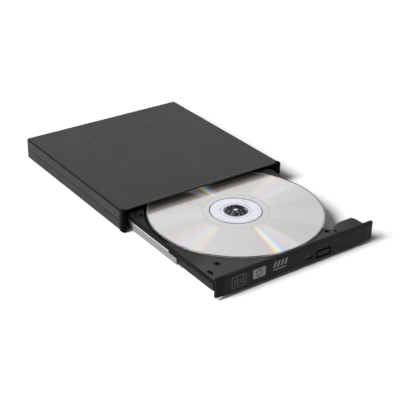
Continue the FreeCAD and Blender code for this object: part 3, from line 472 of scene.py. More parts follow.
# ------------------------------------------------------------------ metals
def metal(base, spread, rough, rough_spread, streaks=(900, 900, 900), streak_depth=0.000004,
          cloud_scale=420.0, edge_light=0.25):
    """Bare or plated metal: streaks, plating clouds, fine pits and bright edges."""
    line = noise(1.0, detail=4.0, rough=0.65, at=stretched(streaks))
    cloud = noise(cloud_scale, detail=4.0, rough=0.6)
    broad = noise(45.0, detail=3.0)
    pit = smooth(cells(1700.0), 0.10, 0.0)
    edge, round_normal = edges(0.00018)
    colour = mix(span(line, 0.25, 0.75), tone(base, offset=-spread), tone(base, offset=spread))
    colour = lay(colour, tone(base, 0.86), smooth(cloud, 0.45, 0.75), 0.35)
    colour = lay(colour, tone(base, 0.5), pit, 0.5)
    colour = lay(colour, tone(base, 1.25, 0.05), edge, edge_light)
    gloss = span(line, 0.2, 0.8, rough - rough_spread, rough + rough_spread)
    gloss = (gloss + (broad - 0.5) * 0.12).clamped()
    return colour, gloss, bump(line, 0.35, streak_depth, round_normal)


ALONG_Y = (3600, 40, 3600)  # noise scale per axis for streaks that run along y


@material
def rail_steel():
    colour, rough, normal = metal(base=(0.30, 0.30, 0.295), spread=0.05, rough=0.24,
                                  rough_spread=0.07, streaks=ALONG_Y, edge_light=0.1)
    # painted highlight along the rail's upper flange
    top = smooth(xyz()[2], 0.0088, 0.0092)
    colour = lay(colour, (0.78, 0.78, 0.77), top, 0.85)
    return principled(colour, rough, normal, Metallic=1.0)


@material
def sheet_steel():
    colour, rough, normal = metal(base=(0.52, 0.53, 0.53), spread=0.07, rough=0.36,
                                  rough_spread=0.08, streaks=ALONG_Y)
    _, y, z = xyz()
    # painted shade: the cover's front lip inside the opening is dark and dull
    above = smooth(y, -0.002, -0.001) * smooth(z, 0.0110, 0.0115)
    lip = smooth(y, 0.0030, 0.0024) * above
    colour = mix(lip, colour, 0.004)
    return principled(colour, blend(lip, rough, 0.7), normal, Metallic=1.0 - lip,
                      Specular_IOR_Level=0.2)


PLAIN_METALS = {
    "screw_steel": dict(base=(0.42, 0.42, 0.43), spread=0.06, rough=0.30, rough_spread=0.08),
    "shaft_steel": dict(base=(0.66, 0.66, 0.67), spread=0.05, rough=0.18, rough_spread=0.05,
                        cloud_scale=900.0),
    "shaft_face": dict(base=(0.66, 0.66, 0.68), spread=0.04, rough=0.42, rough_spread=0.06,
                       cloud_scale=900.0),
    "diecast": dict(base=(0.34, 0.34, 0.35), spread=0.06, rough=0.52, rough_spread=0.08,
                    streak_depth=0.00002),
    "brass": dict(base=(0.72, 0.53, 0.24), spread=0.06, rough=0.24, rough_spread=0.07),
    "gold_contact": dict(base=(0.86, 0.64, 0.26), spread=0.05, rough=0.20, rough_spread=0.05),
    "solder_tin": dict(base=(0.70, 0.70, 0.72), spread=0.06, rough=0.22, rough_spread=0.08,
                       cloud_scale=1500.0),
    "copper_coil": dict(base=(0.60, 0.25, 0.10), spread=0.07, rough=0.26, rough_spread=0.07),
}
METAL_EXTRAS = {"shaft_face": dict(Metallic=0.45),
                "copper_coil": dict(Coat_Weight=0.6, Coat_Roughness=0.12)}
for name, look in PLAIN_METALS.items():
    extras = {"Metallic": 1.0, **METAL_EXTRAS.get(name, {})}
    add_material(name, lambda: principled(*metal(**look), **extras))


# ------------------------------------------------------------------ boards, film, glass
@material
def circuit_board():
    """Stepped copper tracks and bare vias under green lacquer."""
    tracks = cells(520.0, feature="DISTANCE_TO_EDGE")
    runs = cells(300.0, metric="MANHATTAN")
    track = larger(smooth(tracks, 0.055, 0.035), smooth(stripes(runs, 5.0), 0.12, 0.06))
    via = smooth(cells(430.0), 0.12, 0.09)
    weave = noise(1.0, at=stretched((3000, 3000, 60)))
    colour = mix(track, (0.008, 0.060, 0.022), (0.018, 0.125, 0.045))
    colour = mix(via, colour, (0.55, 0.45, 0.22))
    colour = lay(colour, (0.02, 0.08, 0.03), span(weave, 0.4, 0.6), 0.15)
    normal = bump(track + weave * 0.2, strength=0.5, distance=0.00003)
    return principled(colour, span(weave, 0.3, 0.7, 0.30, 0.42), normal, Metallic=via * 0.8,
                      Coat_Weight=0.5, Coat_Roughness=0.15)


@material
def cable_film():
    core = smooth(stripes(xyz()[0], 2000.0), 0.28, 0.22)
    dirt = noise(300.0, detail=4.0, rough=0.6)
    colour = mix(core, (0.33, 0.14, 0.035), (0.52, 0.27, 0.07))
    colour = lay(colour, (0.25, 0.12, 0.04), span(dirt, 0.4, 0.7), 0.2)
    return principled(colour, span(dirt, 0.3, 0.7, 0.22, 0.34),
                      bump(core, strength=0.6, distance=0.00004), Coat_Weight=0.4)


@material
def lens_glass():
    swirl = noise(700.0)
    facing = node("LayerWeight", {"Blend": 0.4}, "Facing")
    colour = mix(facing, (0.03, 0.05, 0.14), (0.20, 0.07, 0.30))
    return principled(colour, span(swirl, 0.3, 0.7, 0.02, 0.07),
                      bump(swirl, strength=0.05, distance=0.00001),
                      Coat_Weight=1.0, Coat_Roughness=0.02, IOR=1.6)


# ------------------------------------------------------------------ disc materials
def polar():
    """Radius from the spindle axis, and the unit direction away from it."""
    x, y, _ = xyz(vector_math("SUBTRACT", coord(), (DISC_CENTRE.x, DISC_CENTRE.y, 0)))
    flat = combine(x, y)
    return vector_math("LENGTH", flat), vector_math("NORMALIZE", flat)


def ring_noise(radius, scale):
    """Fine concentric rings."""
    return noise(1.0, detail=4.0, rough=0.6, at=combine(radius * scale, 0.0))


@material
def disc_plastic():
    haze = noise(140.0, detail=4.0, rough=0.6)
    wipe = noise(1.0, detail=3.0, rough=0.7, at=stretched((900, 60, 60), turn=0.8))
    wipe = smooth(wipe, 0.70, 0.80)
    rough = smooth(haze, 0.6, 0.85) * 0.03 + wipe * 0.04
    colour = mix(haze, (0.97, 0.97, 0.985), (0.985, 0.985, 0.99))
    return principled(colour, rough, bump(haze, strength=0.02, distance=0.00001),
                      IOR=1.55, Transmission_Weight=1.0)


def off_streak(radial, lamp):
    """How far a point lies to the side of the line where one lamp's rainbow falls.

    The groove spiral is bright where the half vector lies along the radius."""
    eye_x, eye_y, _ = xyz(geometry("Incoming"))
    view = combine(eye_x * 1.55, eye_y * 1.55)
    both = vector_math("ADD", view, (lamp[0], lamp[1], 0.0))
    world_radial = node("VectorTransform", {0: radial}, vector_type="VECTOR",
                        convert_from="OBJECT", convert_to="WORLD")
    out_x, out_y, _ = xyz(world_radial)
    return vector_math("DOT_PRODUCT", both, combine(out_y * -1.0, out_x))


# colours across a streak: (position, colour)
RAINBOW = [
    (0.00, (0.75, 0.70, 0.85)), (0.16, (0.95, 0.62, 0.72)), (0.28, (1.0, 0.72, 0.50)),
    (0.38, (1.0, 0.95, 0.62)), (0.47, (0.92, 1.0, 0.86)), (0.56, (0.62, 0.86, 1.0)),
    (0.66, (0.66, 0.72, 1.0)), (0.76, (0.92, 0.80, 0.92)), (0.86, (1.0, 0.97, 0.80)),
    (1.00, (0.88, 0.92, 0.88))]
RAINBOW_LOW = [
    (0.00, (1.0, 1.0, 0.90)), (0.18, (0.93, 1.0, 0.76)), (0.36, (1.0, 0.76, 0.82)),
    (0.52, (0.74, 0.78, 1.0)), (0.66, (0.86, 1.0, 0.80)), (0.82, (1.0, 0.84, 0.78)),
    (1.00, (1.0, 0.95, 0.95))]
RAINBOW_LATE = [
    (0.00, (0.96, 1.0, 0.94)), (0.22, (0.90, 1.0, 0.84)), (0.44, (1.0, 0.92, 0.76)),
    (0.62, (1.0, 0.80, 0.84)), (0.80, (0.86, 0.83, 1.0)), (1.00, (0.98, 0.96, 1.0))]
# painted rainbow streaks for lamps that are not in the scene: azimuth on the disc in degrees,
# reach along it, strength, half width, colours
STREAKS = [(-94.0, 0.35, 0.85, 0.074, RAINBOW), (-82.0, 0.35, 0.45, 0.060, RAINBOW_LOW),
           (-165.5, 0.8, 0.42, 0.27, RAINBOW_LOW), (-153.0, 0.8, 0.34, 0.15, RAINBOW_LATE)]
VIEW_XY = (-0.543, -0.689)  # horizontal part of the main view's direction, weighted


def streak_lamp(azimuth, reach):
    """Horizontal direction of a lamp whose rainbow falls at this azimuth in the main view."""
    angle = math.radians(azimuth)
    return reach * math.cos(angle) - VIEW_XY[0], reach * math.sin(angle) - VIEW_XY[1]


@material
def disc_mirror():
    radius, direction = polar()
    fine = ring_noise(radius, 9000.0)
    cloud = noise(30.0, detail=3.0)
    colour = mix(span(cloud, 0.3, 0.7), (0.872, 0.867, 0.862), (0.902, 0.899, 0.895))
    # faint warmer and cooler sectors
    sector = noise(1.0, at=scaled(direction, 1.7))
    sector_tint = mix(span(sector, 0.32, 0.68), (0.925, 0.915, 0.905), 1.02)
    colour = mix(1.0, colour, sector_tint, "MULTIPLY")
    # whiter lead-in band inside the recorded area, with a grey line at its rim
    colour = mix(smooth(radius, 0.0229, 0.0225), colour, (0.86, 0.86, 0.87))
    line = smooth(radius, 0.0222, 0.0225) * smooth(radius, 0.0231, 0.0228)
    colour = lay(colour, (0.60, 0.60, 0.62), line, 0.5)
    grooves = smooth(radius, 0.0229, 0.0231)
    rough = blend(grooves, 0.10, span(fine, 0.3, 0.7, 0.075, 0.11))
    # painted rainbow reflections: each streak tints the mirror and glows by emission
    rainbow_glow = None
    for azimuth, reach, strength, half_width, stops in STREAKS:
        across = off_streak(direction, streak_lamp(azimuth, reach)) / -half_width
        hue = ramp((across * 0.5 + 0.5).clamped(), stops, "B_SPLINE")
        ragged = noise(1.0, detail=3.0, rough=0.6, at=combine(radius * 260.0, across * 0.9))
        ragged = span(ragged, 0.25, 0.75, 0.75, 1.15)
        near = smooth(abs(across), 1.0, 0.15)
        core = smooth(abs(across), 0.8, 0.0)
        fade = smooth(radius, 0.0215, 0.030) * ragged * strength
        tint = mix((fade * near * 0.52).clamped(), 1.0, hue)
        colour = mix(1.0, colour, tint, "MULTIPLY")
        vivid = vector_math("MULTIPLY", vector_math("MULTIPLY", hue, hue), hue)
        part = scaled(vivid, fade * core * 0.40)
        rainbow_glow = vector_math("ADD", rainbow_glow, part) if rainbow_glow else part
    return principled(colour, rough, bump(fine, strength=0.05, distance=0.000002),
                      Metallic=1.0, Emission_Color=rainbow_glow, Emission_Strength=1.0)


@material
def disc_centre():
    radius, _ = polar()
    frost = noise(420.0, detail=5.0, rough=0.72)
    fleck = smooth(cells(900.0), 0.30, 0.05)
    colour = mix(span(frost, 0.35, 0.65), (0.77, 0.78, 0.85), (0.90, 0.905, 0.96))
    colour = lay(colour, (0.62, 0.62, 0.74), fleck, 0.3)
    line = smooth(abs(radius - 0.0106), 0.00030, 0.00008)
    colour = lay(colour, (0.22, 0.22, 0.30), line, span(noise(150.0), 0.35, 0.65, 0.45, 1.0))
    # dark outer edge, painted shade in the inner zone, and a painted shadow nearly black at the
    # bore
    colour = mix(smooth(radius, 0.01728, 0.01752), colour, (0.045, 0.045, 0.075))
    colour = lay(colour, (0.30, 0.30, 0.38), smooth(radius, 0.0106, 0.0082), 0.25)
    colour = mix(smooth(radius, 0.0086, 0.0081), colour, (0.010, 0.010, 0.02))
    # painted light: the frosted band glows, standing in for light gathered by the clear plastic
    # round it
    return principled(colour, span(frost, 0.3, 0.7, 0.35, 0.6),
                      bump(frost, strength=0.4, distance=0.00005),
                      Emission_Color=scaled(colour, 0.12), Emission_Strength=1.0)


@material
def disc_print():
    radius, _ = polar()
    ring = ring_noise(radius, 5000.0)
    cloud = noise(60.0, detail=4.0, rough=0.55)
    colour = mix(span(ring, 0.3, 0.7), (0.50, 0.50, 0.51), (0.62, 0.62, 0.63))
    colour = lay(colour, (0.45, 0.45, 0.46), span(cloud, 0.3, 0.7), 0.3)
    band_mask = smooth(abs(radius - 0.0215), 0.0004, 0.0002)
    colour = mix(band_mask, colour, (0.28, 0.28, 0.29))
    return principled(colour, span(ring, 0.3, 0.7, 0.38, 0.5),
                      bump(ring, strength=0.2, distance=0.00001), Metallic=0.55)


# ------------------------------------------------------------------ print, foil, stage materials
def screen_print(base, cover):
    """Thin print on the grained face, broken where a noise passes the cover level."""
    grain = noise(2600.0, detail=3.0, rough=0.6)
    broken = smooth(noise(700.0, detail=4.0, rough=0.65), cover, cover + 0.18)
    colour = mix(span(grain, 0.3, 0.7), tone(base, 0.82), base)
    colour = lay(colour, 0.012, broken, 0.5)
    return principled(colour, span(grain, 0.3, 0.7, 0.45, 0.6),
                      bump(grain, strength=0.4, distance=0.00002), Specular_IOR_Level=0.3)


PRINTS = {"mark_dim": dict(base=grey(0.050), cover=0.50),
          "mark_mid": dict(base=grey(0.18), cover=0.64),
          "mark_bright": dict(base=(0.24, 0.24, 0.235), cover=0.66)}
for name, look in PRINTS.items():
    add_material(name, lambda: screen_print(**look))


@material
def label_foil():
    x, y, _ = xyz()
    brushed = noise(1.0, detail=3.0, rough=0.6, at=stretched((30, 2600, 400)))
    blot = noise(80.0, detail=4.0, rough=0.6)
    # a dark line just inside the foil's edge: half sizes 26.2 and 14.2 mm about y = 100 mm
    border = abs(larger(abs(x) - 0.0262, abs(y - 0.100) - 0.0142))
    colour = mix(span(brushed, 0.3, 0.7), (0.34, 0.34, 0.345), (0.44, 0.44, 0.445))
    colour = lay(colour, 0.26, span(blot, 0.45, 0.75), 0.2)
    colour = mix(smooth(border, 0.00022, 0.00012), colour, 0.04)
    return principled(colour, span(brushed, 0.3, 0.7, 0.36, 0.5),
                      bump(brushed, strength=0.2, distance=0.000005), Metallic=0.6)


def painted_reflection_card():
    """Self-lit card for a painted reflection, nearly black at its foot and paler upwards."""
    z = xyz()[2]
    colour = mix(smooth(z, 0.0160, 0.0202), (0.075, 0.066, 0.053), (0.36, 0.335, 0.30))
    colour = mix(smooth(z, 0.0172, 0.0154), colour, (0.007, 0.006, 0.005))
    colour = lay(colour, (0.2, 0.19, 0.18), noise(60.0, detail=3.0, rough=0.6), 0.25)
    return node("Emission", {"Color": colour, "Strength": 1.0})


add_material("stage_flag", painted_reflection_card, tagged=False)


@material
def stage_paper():
    """White paper; it turns clear when seen from below, so the underside shows."""
    fibre = noise(900.0, detail=4.0, rough=0.6)
    paper = principled(mix(span(fibre, 0.3, 0.7), 0.93, 0.95),
                       span(fibre, 0.3, 0.7, 0.85, 0.95), Specular_IOR_Level=0.1)
    return node("MixShader", {0: seen_from_below(), 1: paper, 2: node("BsdfTransparent")})


def to_mesh(solid, name="made"):
    bmesh.ops.recalc_face_normals(solid, faces=solid.faces[:])
    mesh = bpy.data.meshes.new(name)
    solid.to_mesh(mesh)
    solid.free()
    return mesh


def piece(name, solid, finish, body, replaces=None, sharp=30.0):
    """Adds an object that rides a body; edges past the sharp angle (degrees) stay hard."""
    mesh = to_mesh(solid, name)
    obj = bpy.data.objects.new(name, mesh)
    bpy.context.scene.collection.objects.link(obj)
    mesh.materials.append(MATERIALS[finish])
    if sharp is not None:
        mesh.shade_smooth()
        mesh.set_sharp_from_angle(angle=math.radians(sharp))
        weighted = obj.modifiers.new("face_weighted_normals", "WEIGHTED_NORMAL")
        weighted.keep_sharp = True
        weighted.weight = 80
    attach(obj, body)
    if replaces:
        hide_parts(replaces)


def merge(*solids):
    merged = bmesh.new()
    for solid in solids:
        mesh = bpy.data.meshes.new("part")
        solid.to_mesh(mesh)
        solid.free()
        merged.from_mesh(mesh)
        bpy.data.meshes.remove(mesh)
    return merged


def transformed(solid, matrix):
    bmesh.ops.transform(solid, matrix=matrix, verts=solid.verts[:])
    return solid


def shift(x, y, z):
    return Matrix.Translation(Vector((x, y, z)) * MM)


def moved(solid, x, y, z):
    bmesh.ops.translate(solid, vec=Vector((x, y, z)) * MM, verts=solid.verts[:])
    return solid


def spin(degrees):
    return Matrix.Rotation(math.radians(degrees), 4, "Z")


def join_rings(solid, first, second):
    """Walls between two closed rings of vertices."""
    count = len(first)
    for i in range(count):
        j = (i + 1) % count
        solid.faces.new((first[i], first[j], second[j], second[i]))


LATHE_TURN = {"z": Matrix.Identity(4), "x": Matrix.Rotation(math.pi / 2, 4, "Y"),
              "y": Matrix.Rotation(-math.pi / 2, 4, "X")}


def lathe(profile, centre=(0, 0, 0), steps=64, axis="z"):
    """Turns an outline of (radius, height) about an axis.

    An outline that starts on the axis ends there too; any other is closed on itself."""
    closed = profile[0][0] > 0
    solid = bmesh.new()
    points = []
    following = profile[1:] + (profile[:1] if closed else [None])
    for (radius, height), after in zip(profile, following):
        points.append((radius, height))
        if after is None or min(radius, after[0]) <= 0.3:
            continue
        length = math.hypot(after[0] - radius, after[1] - height)
        if length > 2.5:
            # a narrow ring beside each end keeps a long flat face flat
            for share in (0.15 / length, 1 - 0.15 / length):
                points.append((radius + (after[0] - radius) * share,
                               height + (after[1] - height) * share))
    rings = []
    for radius, height in points:
        if radius < 1e-6:
            rings.append([solid.verts.new((0, 0, height * MM))])
            continue
        ring = []
        for i in range(steps):
            angle = 2 * math.pi * i / steps
            ring.append(solid.verts.new((radius * math.cos(angle) * MM,
                                         radius * math.sin(angle) * MM, height * MM)))
        rings.append(ring)
    pairs = list(zip(rings, rings[1:]))
    if closed:
        pairs.append((rings[-1], rings[0]))
    for first, second in pairs:
        if len(first) > 1 and len(second) > 1:
            join_rings(solid, first, second)
            continue
        for i in range(steps):
            j = (i + 1) % steps
            if len(first) == 1:
                solid.faces.new((first[0], second[j], second[i]))
            else:
                solid.faces.new((first[i], first[j], second[0]))
    return transformed(solid, shift(*centre) @ LATHE_TURN[axis])


def band(inner, outer, low, high, centre=(0, 0, 0), steps=64, axis="z"):
    """A ring with a rectangular section."""
    return lathe([(inner, low), (outer, low), (outer, high), (inner, high)], centre, steps, axis)


def drill(radius, low, high, centre, steps, axis="z"):
    """A cutter for a round hole; a hair-thin bore runs along its middle."""
    return band(0.001, radius, low, high, centre, steps, axis)


def ball(radius, x, y, z):
    points = [(0, -radius)]
    for degrees in range(-75, 90, 15):
        angle = math.radians(degrees)
        points.append((radius * math.cos(angle), radius * math.sin(angle)))
    return lathe(points + [(0, radius)], (x, y, z), 24)


def prism(near, far):
    """Two rings of vertices of equal point count, for ends that the caller caps and joins."""
    solid = bmesh.new()
    first = [solid.verts.new(point) for point in near]
    second = [solid.verts.new(point) for point in far]
    return solid, first, second


def slab(outline, z0, z1, bevel=0.0, segments=2):
    """An upright prism from an (x, y) outline, its edges rounded."""
    solid, low, top = prism([(x * MM, y * MM, z0 * MM) for x, y in outline],
                            [(x * MM, y * MM, z1 * MM) for x, y in outline])
    solid.faces.new(low[::-1])
    solid.faces.new(top)
    join_rings(solid, low, top)
    bmesh.ops.recalc_face_normals(solid, faces=solid.faces[:])
    if bevel:
        bmesh.ops.bevel(solid, geom=solid.edges[:], offset=bevel * MM, segments=segments,
                        profile=0.6, affect="EDGES", clamp_overlap=True)
    return solid


def brick(x0, x1, y0, y1, z0, z1, bevel=0.0, segments=2):
    return slab([(x0, y0), (x1, y0), (x1, y1), (x0, y1)], z0, z1, bevel, segments)


def round_rect(left, right, low, high, radius, steps=5):
    points = []
    for x, y, start in ((right - radius, high - radius, 0), (left + radius, high - radius, 90),
                        (left + radius, low + radius, 180), (right - radius, low + radius, 270)):
        for i in range(steps + 1):
            angle = math.radians(start + 90 * i / steps)
            points.append((x + radius * math.cos(angle), y + radius * math.sin(angle)))
    return points


def carve(solid, tools):
    """Cuts closed solids from a closed solid."""
    base = bpy.data.objects.new("carve_base", to_mesh(solid))
    bpy.context.scene.collection.objects.link(base)
    helpers = []
    for tool in tools:
        helper = bpy.data.objects.new("carve_tool", to_mesh(tool))
        bpy.context.scene.collection.objects.link(helper)
        cut = base.modifiers.new("cut", "BOOLEAN")
        cut.operation = "DIFFERENCE"
        cut.object = helper
        cut.solver = "EXACT"
        helpers.append(helper)
    bpy.context.view_layer.update()
    depsgraph = bpy.context.evaluated_depsgraph_get()
    mesh = bpy.data.meshes.new_from_object(base.evaluated_get(depsgraph), depsgraph=depsgraph)
    for obj in helpers + [base]:
        bpy.data.objects.remove(obj, do_unlink=True)
    carved = bmesh.new()
    carved.from_mesh(mesh)
    bpy.data.meshes.remove(mesh)
    return carved


def tube(points, radius, steps):
    """A round wire along a path."""
    solid = bmesh.new()
    path = [Vector(point) * MM for point in points]
    rings = []
    up = None
    for i, point in enumerate(path):
        ahead = (path[min(i + 1, len(path) - 1)] - path[max(i - 1, 0)]).normalized()
        if up is None:
            up = Vector((0, 0, 1)) if abs(ahead.z) < 0.9 else Vector((1, 0, 0))
        side = ahead.cross(up).normalized()
        up = side.cross(ahead).normalized()
        ring = []
        for k in range(steps):
            angle = 2 * math.pi * k / steps
            offset = side * math.cos(angle) + up * math.sin(angle)
            ring.append(solid.verts.new(point + offset * radius * MM))
        rings.append(ring)
    for first, second in zip(rings, rings[1:]):
        join_rings(solid, first, second)
    solid.faces.new(rings[0])
    solid.faces.new(rings[-1][::-1])
    return solid


# ------------------------------------------------------------------ finishes on the CAD pieces
CAD_FINISH = {"bottom_shell": "case_base_plastic", "usb_tongue": "connector_dark"}
for node_name, obj in frame["nodes"].items():
    finish = CAD_FINISH.get(node_name, SLOT_OF[node_name])
    if finish == "disc_surface":
        finish = "disc_mirror"
    obj.data.materials.clear()
    obj.data.materials.append(MATERIALS[finish])


# ------------------------------------------------------------------ disc
AXIS_X, AXIS_Y = DISC_CENTRE.x / MM, DISC_CENTRE.y / MM
AXIS = (AXIS_X, AXIS_Y, 0)
DISC_LOW, DISC_TOP = DISC_LO.z / MM, DISC_HI.z / MM
DISC_R = (DISC_HI.x - DISC_LO.x) / 2 / MM
LAYER = (DISC_LOW + 0.06, DISC_LOW + 0.12)  # height of the mirror and the hub band

# radius, height: rounded bore and rim, a shallow groove in the top near radius 17
DISC_PROFILE = [
    (7.5, DISC_LOW + 0.13), (7.6, DISC_LOW + 0.03), (DISC_R - 0.3, DISC_LOW + 0.03),
    (DISC_R - 0.09, DISC_LOW + 0.09), (DISC_R, DISC_LOW + 0.3), (DISC_R, DISC_TOP - 0.3),
    (DISC_R - 0.09, DISC_TOP - 0.09), (DISC_R - 0.3, DISC_TOP), (17.6, DISC_TOP),
    (17.4, DISC_TOP - 0.12), (17.1, DISC_TOP - 0.12), (16.9, DISC_TOP), (7.6, DISC_TOP),
    (7.5, DISC_TOP - 0.1)]
piece("disc_body", lathe(DISC_PROFILE, AXIS, 256), "disc_plastic", "spindle", "disc", 40)
piece("disc_mirror_layer", band(18.2, DISC_R - 1.2, *LAYER, AXIS, 256), "disc_mirror", "spindle")
piece("disc_hub_band", band(7.7, 18.0, *LAYER, AXIS, 192), "disc_centre", "spindle")
piece("disc_print", band(11.2, DISC_R - 0.5, DISC_LOW, DISC_LOW + 0.05, AXIS, 256),
      "disc_print", "spindle")

# ------------------------------------------------------------------ chuck hub and spindle
# radius, height
HUB_PROFILE = [
    (1.34, 13.0), (7.3, 13.0), (7.35, 13.08), (7.35, 14.05), (7.24, 14.3), (6.9, 14.5),
    (6.3, 14.62), (5.7, 14.66), (4.5, 14.66), (4.2, 14.56), (4.1, 14.34), (3.6, 14.24),
    (2.7, 14.24), (2.35, 14.3), (2.2, 14.5), (1.95, 14.58), (1.5, 14.58), (1.34, 14.46)]
SHAFT_PROFILE = [
    (0.0, 4.4), (1.1, 4.4), (1.3, 4.6), (1.3, 8.0), (1.22, 8.05), (1.22, 8.35), (1.3, 8.4),
    (1.3, 14.48), (1.18, 14.62), (0.9, 14.68), (0.55, 14.68), (0.4, 14.55), (0.0, 14.5)]
BALL_ANGLES = [90 + 120 * i for i in range(3)]


def round_axis(radius, degrees):
    angle = math.radians(degrees)
    return AXIS_X + radius * math.cos(angle), AXIS_Y + radius * math.sin(angle)


def hub_slot(degrees):
    """Cutter for a radial slot."""
    slot = brick(AXIS_X + 4.0, AXIS_X + 8.0, AXIS_Y - 0.2, AXIS_Y + 0.2, 13.7, 15.1)
    return transformed(slot, shift(*AXIS) @ spin(degrees) @ shift(-AXIS_X, -AXIS_Y, 0))


def chuck_hub():
    """Hub with three ball seats, a slot each side of a ball, and two rings of small holes."""
    tools = []
    for degrees in BALL_ANGLES:
        tools.append(ball(0.66, *round_axis(6.86, degrees), 14.25))
        tools += [hub_slot(degrees + offset) for offset in (-16, 16)]
    for i in range(15):
        degrees = 24 * i + 6
        if all(abs((degrees - seat + 180) % 360 - 180) > 22 for seat in BALL_ANGLES):
            tools.append(drill(0.46, 14.2, 15.0, (*round_axis(5.25, degrees), 0), 16))
    for i in range(6):
        tools.append(drill(0.30, 14.1, 15.0, (*round_axis(3.1, 60 * i + 30), 0), 12))
    return carve(lathe(HUB_PROFILE, AXIS, 120), tools)


piece("chuck_hub_moulding", chuck_hub(), "hub_plastic", "spindle", "chuck_hub")
piece("chuck_ball_set",
      merge(*[ball(0.58, *round_axis(6.70, degrees), 14.28) for degrees in BALL_ANGLES]),
      "shaft_steel", "spindle", "chuck_balls")
piece("spindle_shaft_turned", lathe(SHAFT_PROFILE, AXIS, 48), "shaft_face", "spindle",
      "spindle_shaft")


# ------------------------------------------------------------------ ribs in the tray's pocket
def rib(x0, y0, x1, y1, width, top):
    run = Vector((x1 - x0, y1 - y0)).normalized()
    side = Vector((-run.y, run.x)) * (width / 2)
    outline = [(x0 + side.x, y0 + side.y), (x0 - side.x, y0 - side.y),
               (x1 - side.x, y1 - side.y), (x1 + side.x, y1 + side.y)]
    return slab(outline, 12.05, top, 0.12)


# at the rear left: start x, y, end x, y, width, top
POCKET_RIBS = [(-61.5, -3.2, -60.0, 1.2, 0.8, 12.62), (-59.6, -3.2, -58.2, 0.6, 0.7, 12.60),
               (-61.4, 8.0, -57.2, 8.0, 0.8, 12.60)]
# the ribs' lighter finish is a painted highlight
piece("tray_pocket_ribs", merge(*[rib(*row) for row in POCKET_RIBS]), "tray_worn_and_lit", "tray")

# ------------------------------------------------------------------ pictograms on the bezel
BEZEL_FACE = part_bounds("tray_bezel")[0].y / MM
PRINT_FRONT, PRINT_BACK = BEZEL_FACE - 0.02, BEZEL_FACE + 0.01


def print_row(outline, y):
    return [(x * MM, y * MM, z * MM) for x, z in outline]


def mark(outline):
    """A flat printed shape on the bezel's front face from (x, z) points."""
    solid, front, back = prism(print_row(outline, PRINT_FRONT), print_row(outline, PRINT_BACK))
    solid.faces.new(front)
    solid.faces.new(back[::-1])
    join_rings(solid, front, back)
    return solid


def frame_mark(outer, inner):
    """A closed printed band between two outlines of equal point count."""
    solid = bmesh.new()
    rows = []
    for outline, y in ((outer, PRINT_FRONT), (inner, PRINT_FRONT),
                       (inner, PRINT_BACK), (outer, PRINT_BACK)):
        rows.append([solid.verts.new(point) for point in print_row(outline, y)])
    for first, second in zip(rows, rows[1:] + rows[:1]):
        join_rings(solid, first, second)
    return solid


def left_mark():
    """Four upright bars in a rounded frame."""
    shapes = [frame_mark(round_rect(-52.6, -41.2, 4.6, 13.0, 1.6),
                         round_rect(-51.9, -41.9, 5.3, 12.3, 1.1))]
    for i, height in enumerate((4.2, 5.6, 3.2, 5.0)):
        x = -50.2 + 2.2 * i
        bar = round_rect(x - 0.55, x + 0.55, 8.8 - height / 2, 8.8 + height / 2, 0.5)
        shapes.append(mark(bar))
    return merge(*shapes)


def middle_mark():
    """A filled block with two rings left unprinted."""
    rings = [band(radius, radius + 0.45, -2, 2, (-31.35, BEZEL_FACE, 9.3), 48, "y")
             for radius in (1.2, 2.3)]
    return carve(mark(round_rect(-36.2, -26.5, 5.9, 12.7, 0.9)), rings)


def right_mark():
    """Four slanted strokes over a line and four dots."""
    shapes = []
    for i in range(4):
        x = -20.4 + 2.9 * i
        shapes.append(mark([(x, 8.6), (x + 1.5, 8.6), (x + 2.7, 12.8), (x + 1.2, 12.8)]))
    shapes.append(mark(round_rect(-20.6, -9.9, 6.9, 7.6, 0.3)))
    for i in range(4):
        shapes.append(mark(round_rect(-17.8 + 1.9 * i, -17.0 + 1.9 * i, 5.5, 5.9, 0.18, 3)))
    return merge(*shapes)


piece("bezel_mark_left", left_mark(), "mark_dim", "tray", sharp=None)
piece("bezel_mark_middle", middle_mark(), "mark_bright", "tray", sharp=None)
piece("bezel_mark_right", right_mark(), "mark_mid", "tray", sharp=None)


# ------------------------------------------------------------------ screws
def screw(head_radius, head, shank, length, pitch):
    """A cross-head screw, head up, the head's top at z = 0."""
    tip = -head - length
    root = shank * 0.80
    profile = [(0.0, 0.0), (head_radius * 0.82, 0.0), (head_radius * 0.95, -head * 0.12),
               (head_radius, -head * 0.35), (head_radius, -head * 0.85),
               (head_radius * 0.96, -head), (shank, -head)]
    height = -head - 0.1
    while height - pitch > tip + 0.35:
        profile += [(root, height - pitch * 0.15), (shank, height - pitch * 0.45),
                    (shank, height - pitch * 0.60), (root, height - pitch * 0.90)]
        height -= pitch
    profile += [(root, tip + 0.25), (shank * 0.45, tip), (0.0, tip)]
    arm, half = head_radius * 0.62, head_radius * 0.13
    depth = min(head * 0.6, head_radius * 0.6)
    cross = [brick(-arm, arm, -half, half, -depth, 0.3),
             brick(-half, half, -arm, arm, -depth * 0.98, 0.31)]
    return carve(lathe(profile, steps=32), cross)


def copies(solid, places):
    """Copies of one solid, a matrix for each."""
    mesh = to_mesh(solid)
    made = []
    for place in places:
        copy = bmesh.new()
        copy.from_mesh(mesh)
        made.append(transformed(copy, place))
    bpy.data.meshes.remove(mesh)
    return merge(*made)


def screw_set(replaced, body, places, **sizes):
    piece(replaced + "_set", copies(screw(**sizes), places), "screw_steel", body, replaced)


HEAD_DOWN = Matrix.Rotation(math.pi, 4, "X")


def downward(replaced, points, turns):
    """Places with the heads down, level with the underside of the replaced screws."""
    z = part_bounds(replaced)[0].z / MM
    return [shift(x, y, z) @ HEAD_DOWN @ spin(turn) for (x, y), turn in zip(points, turns)]


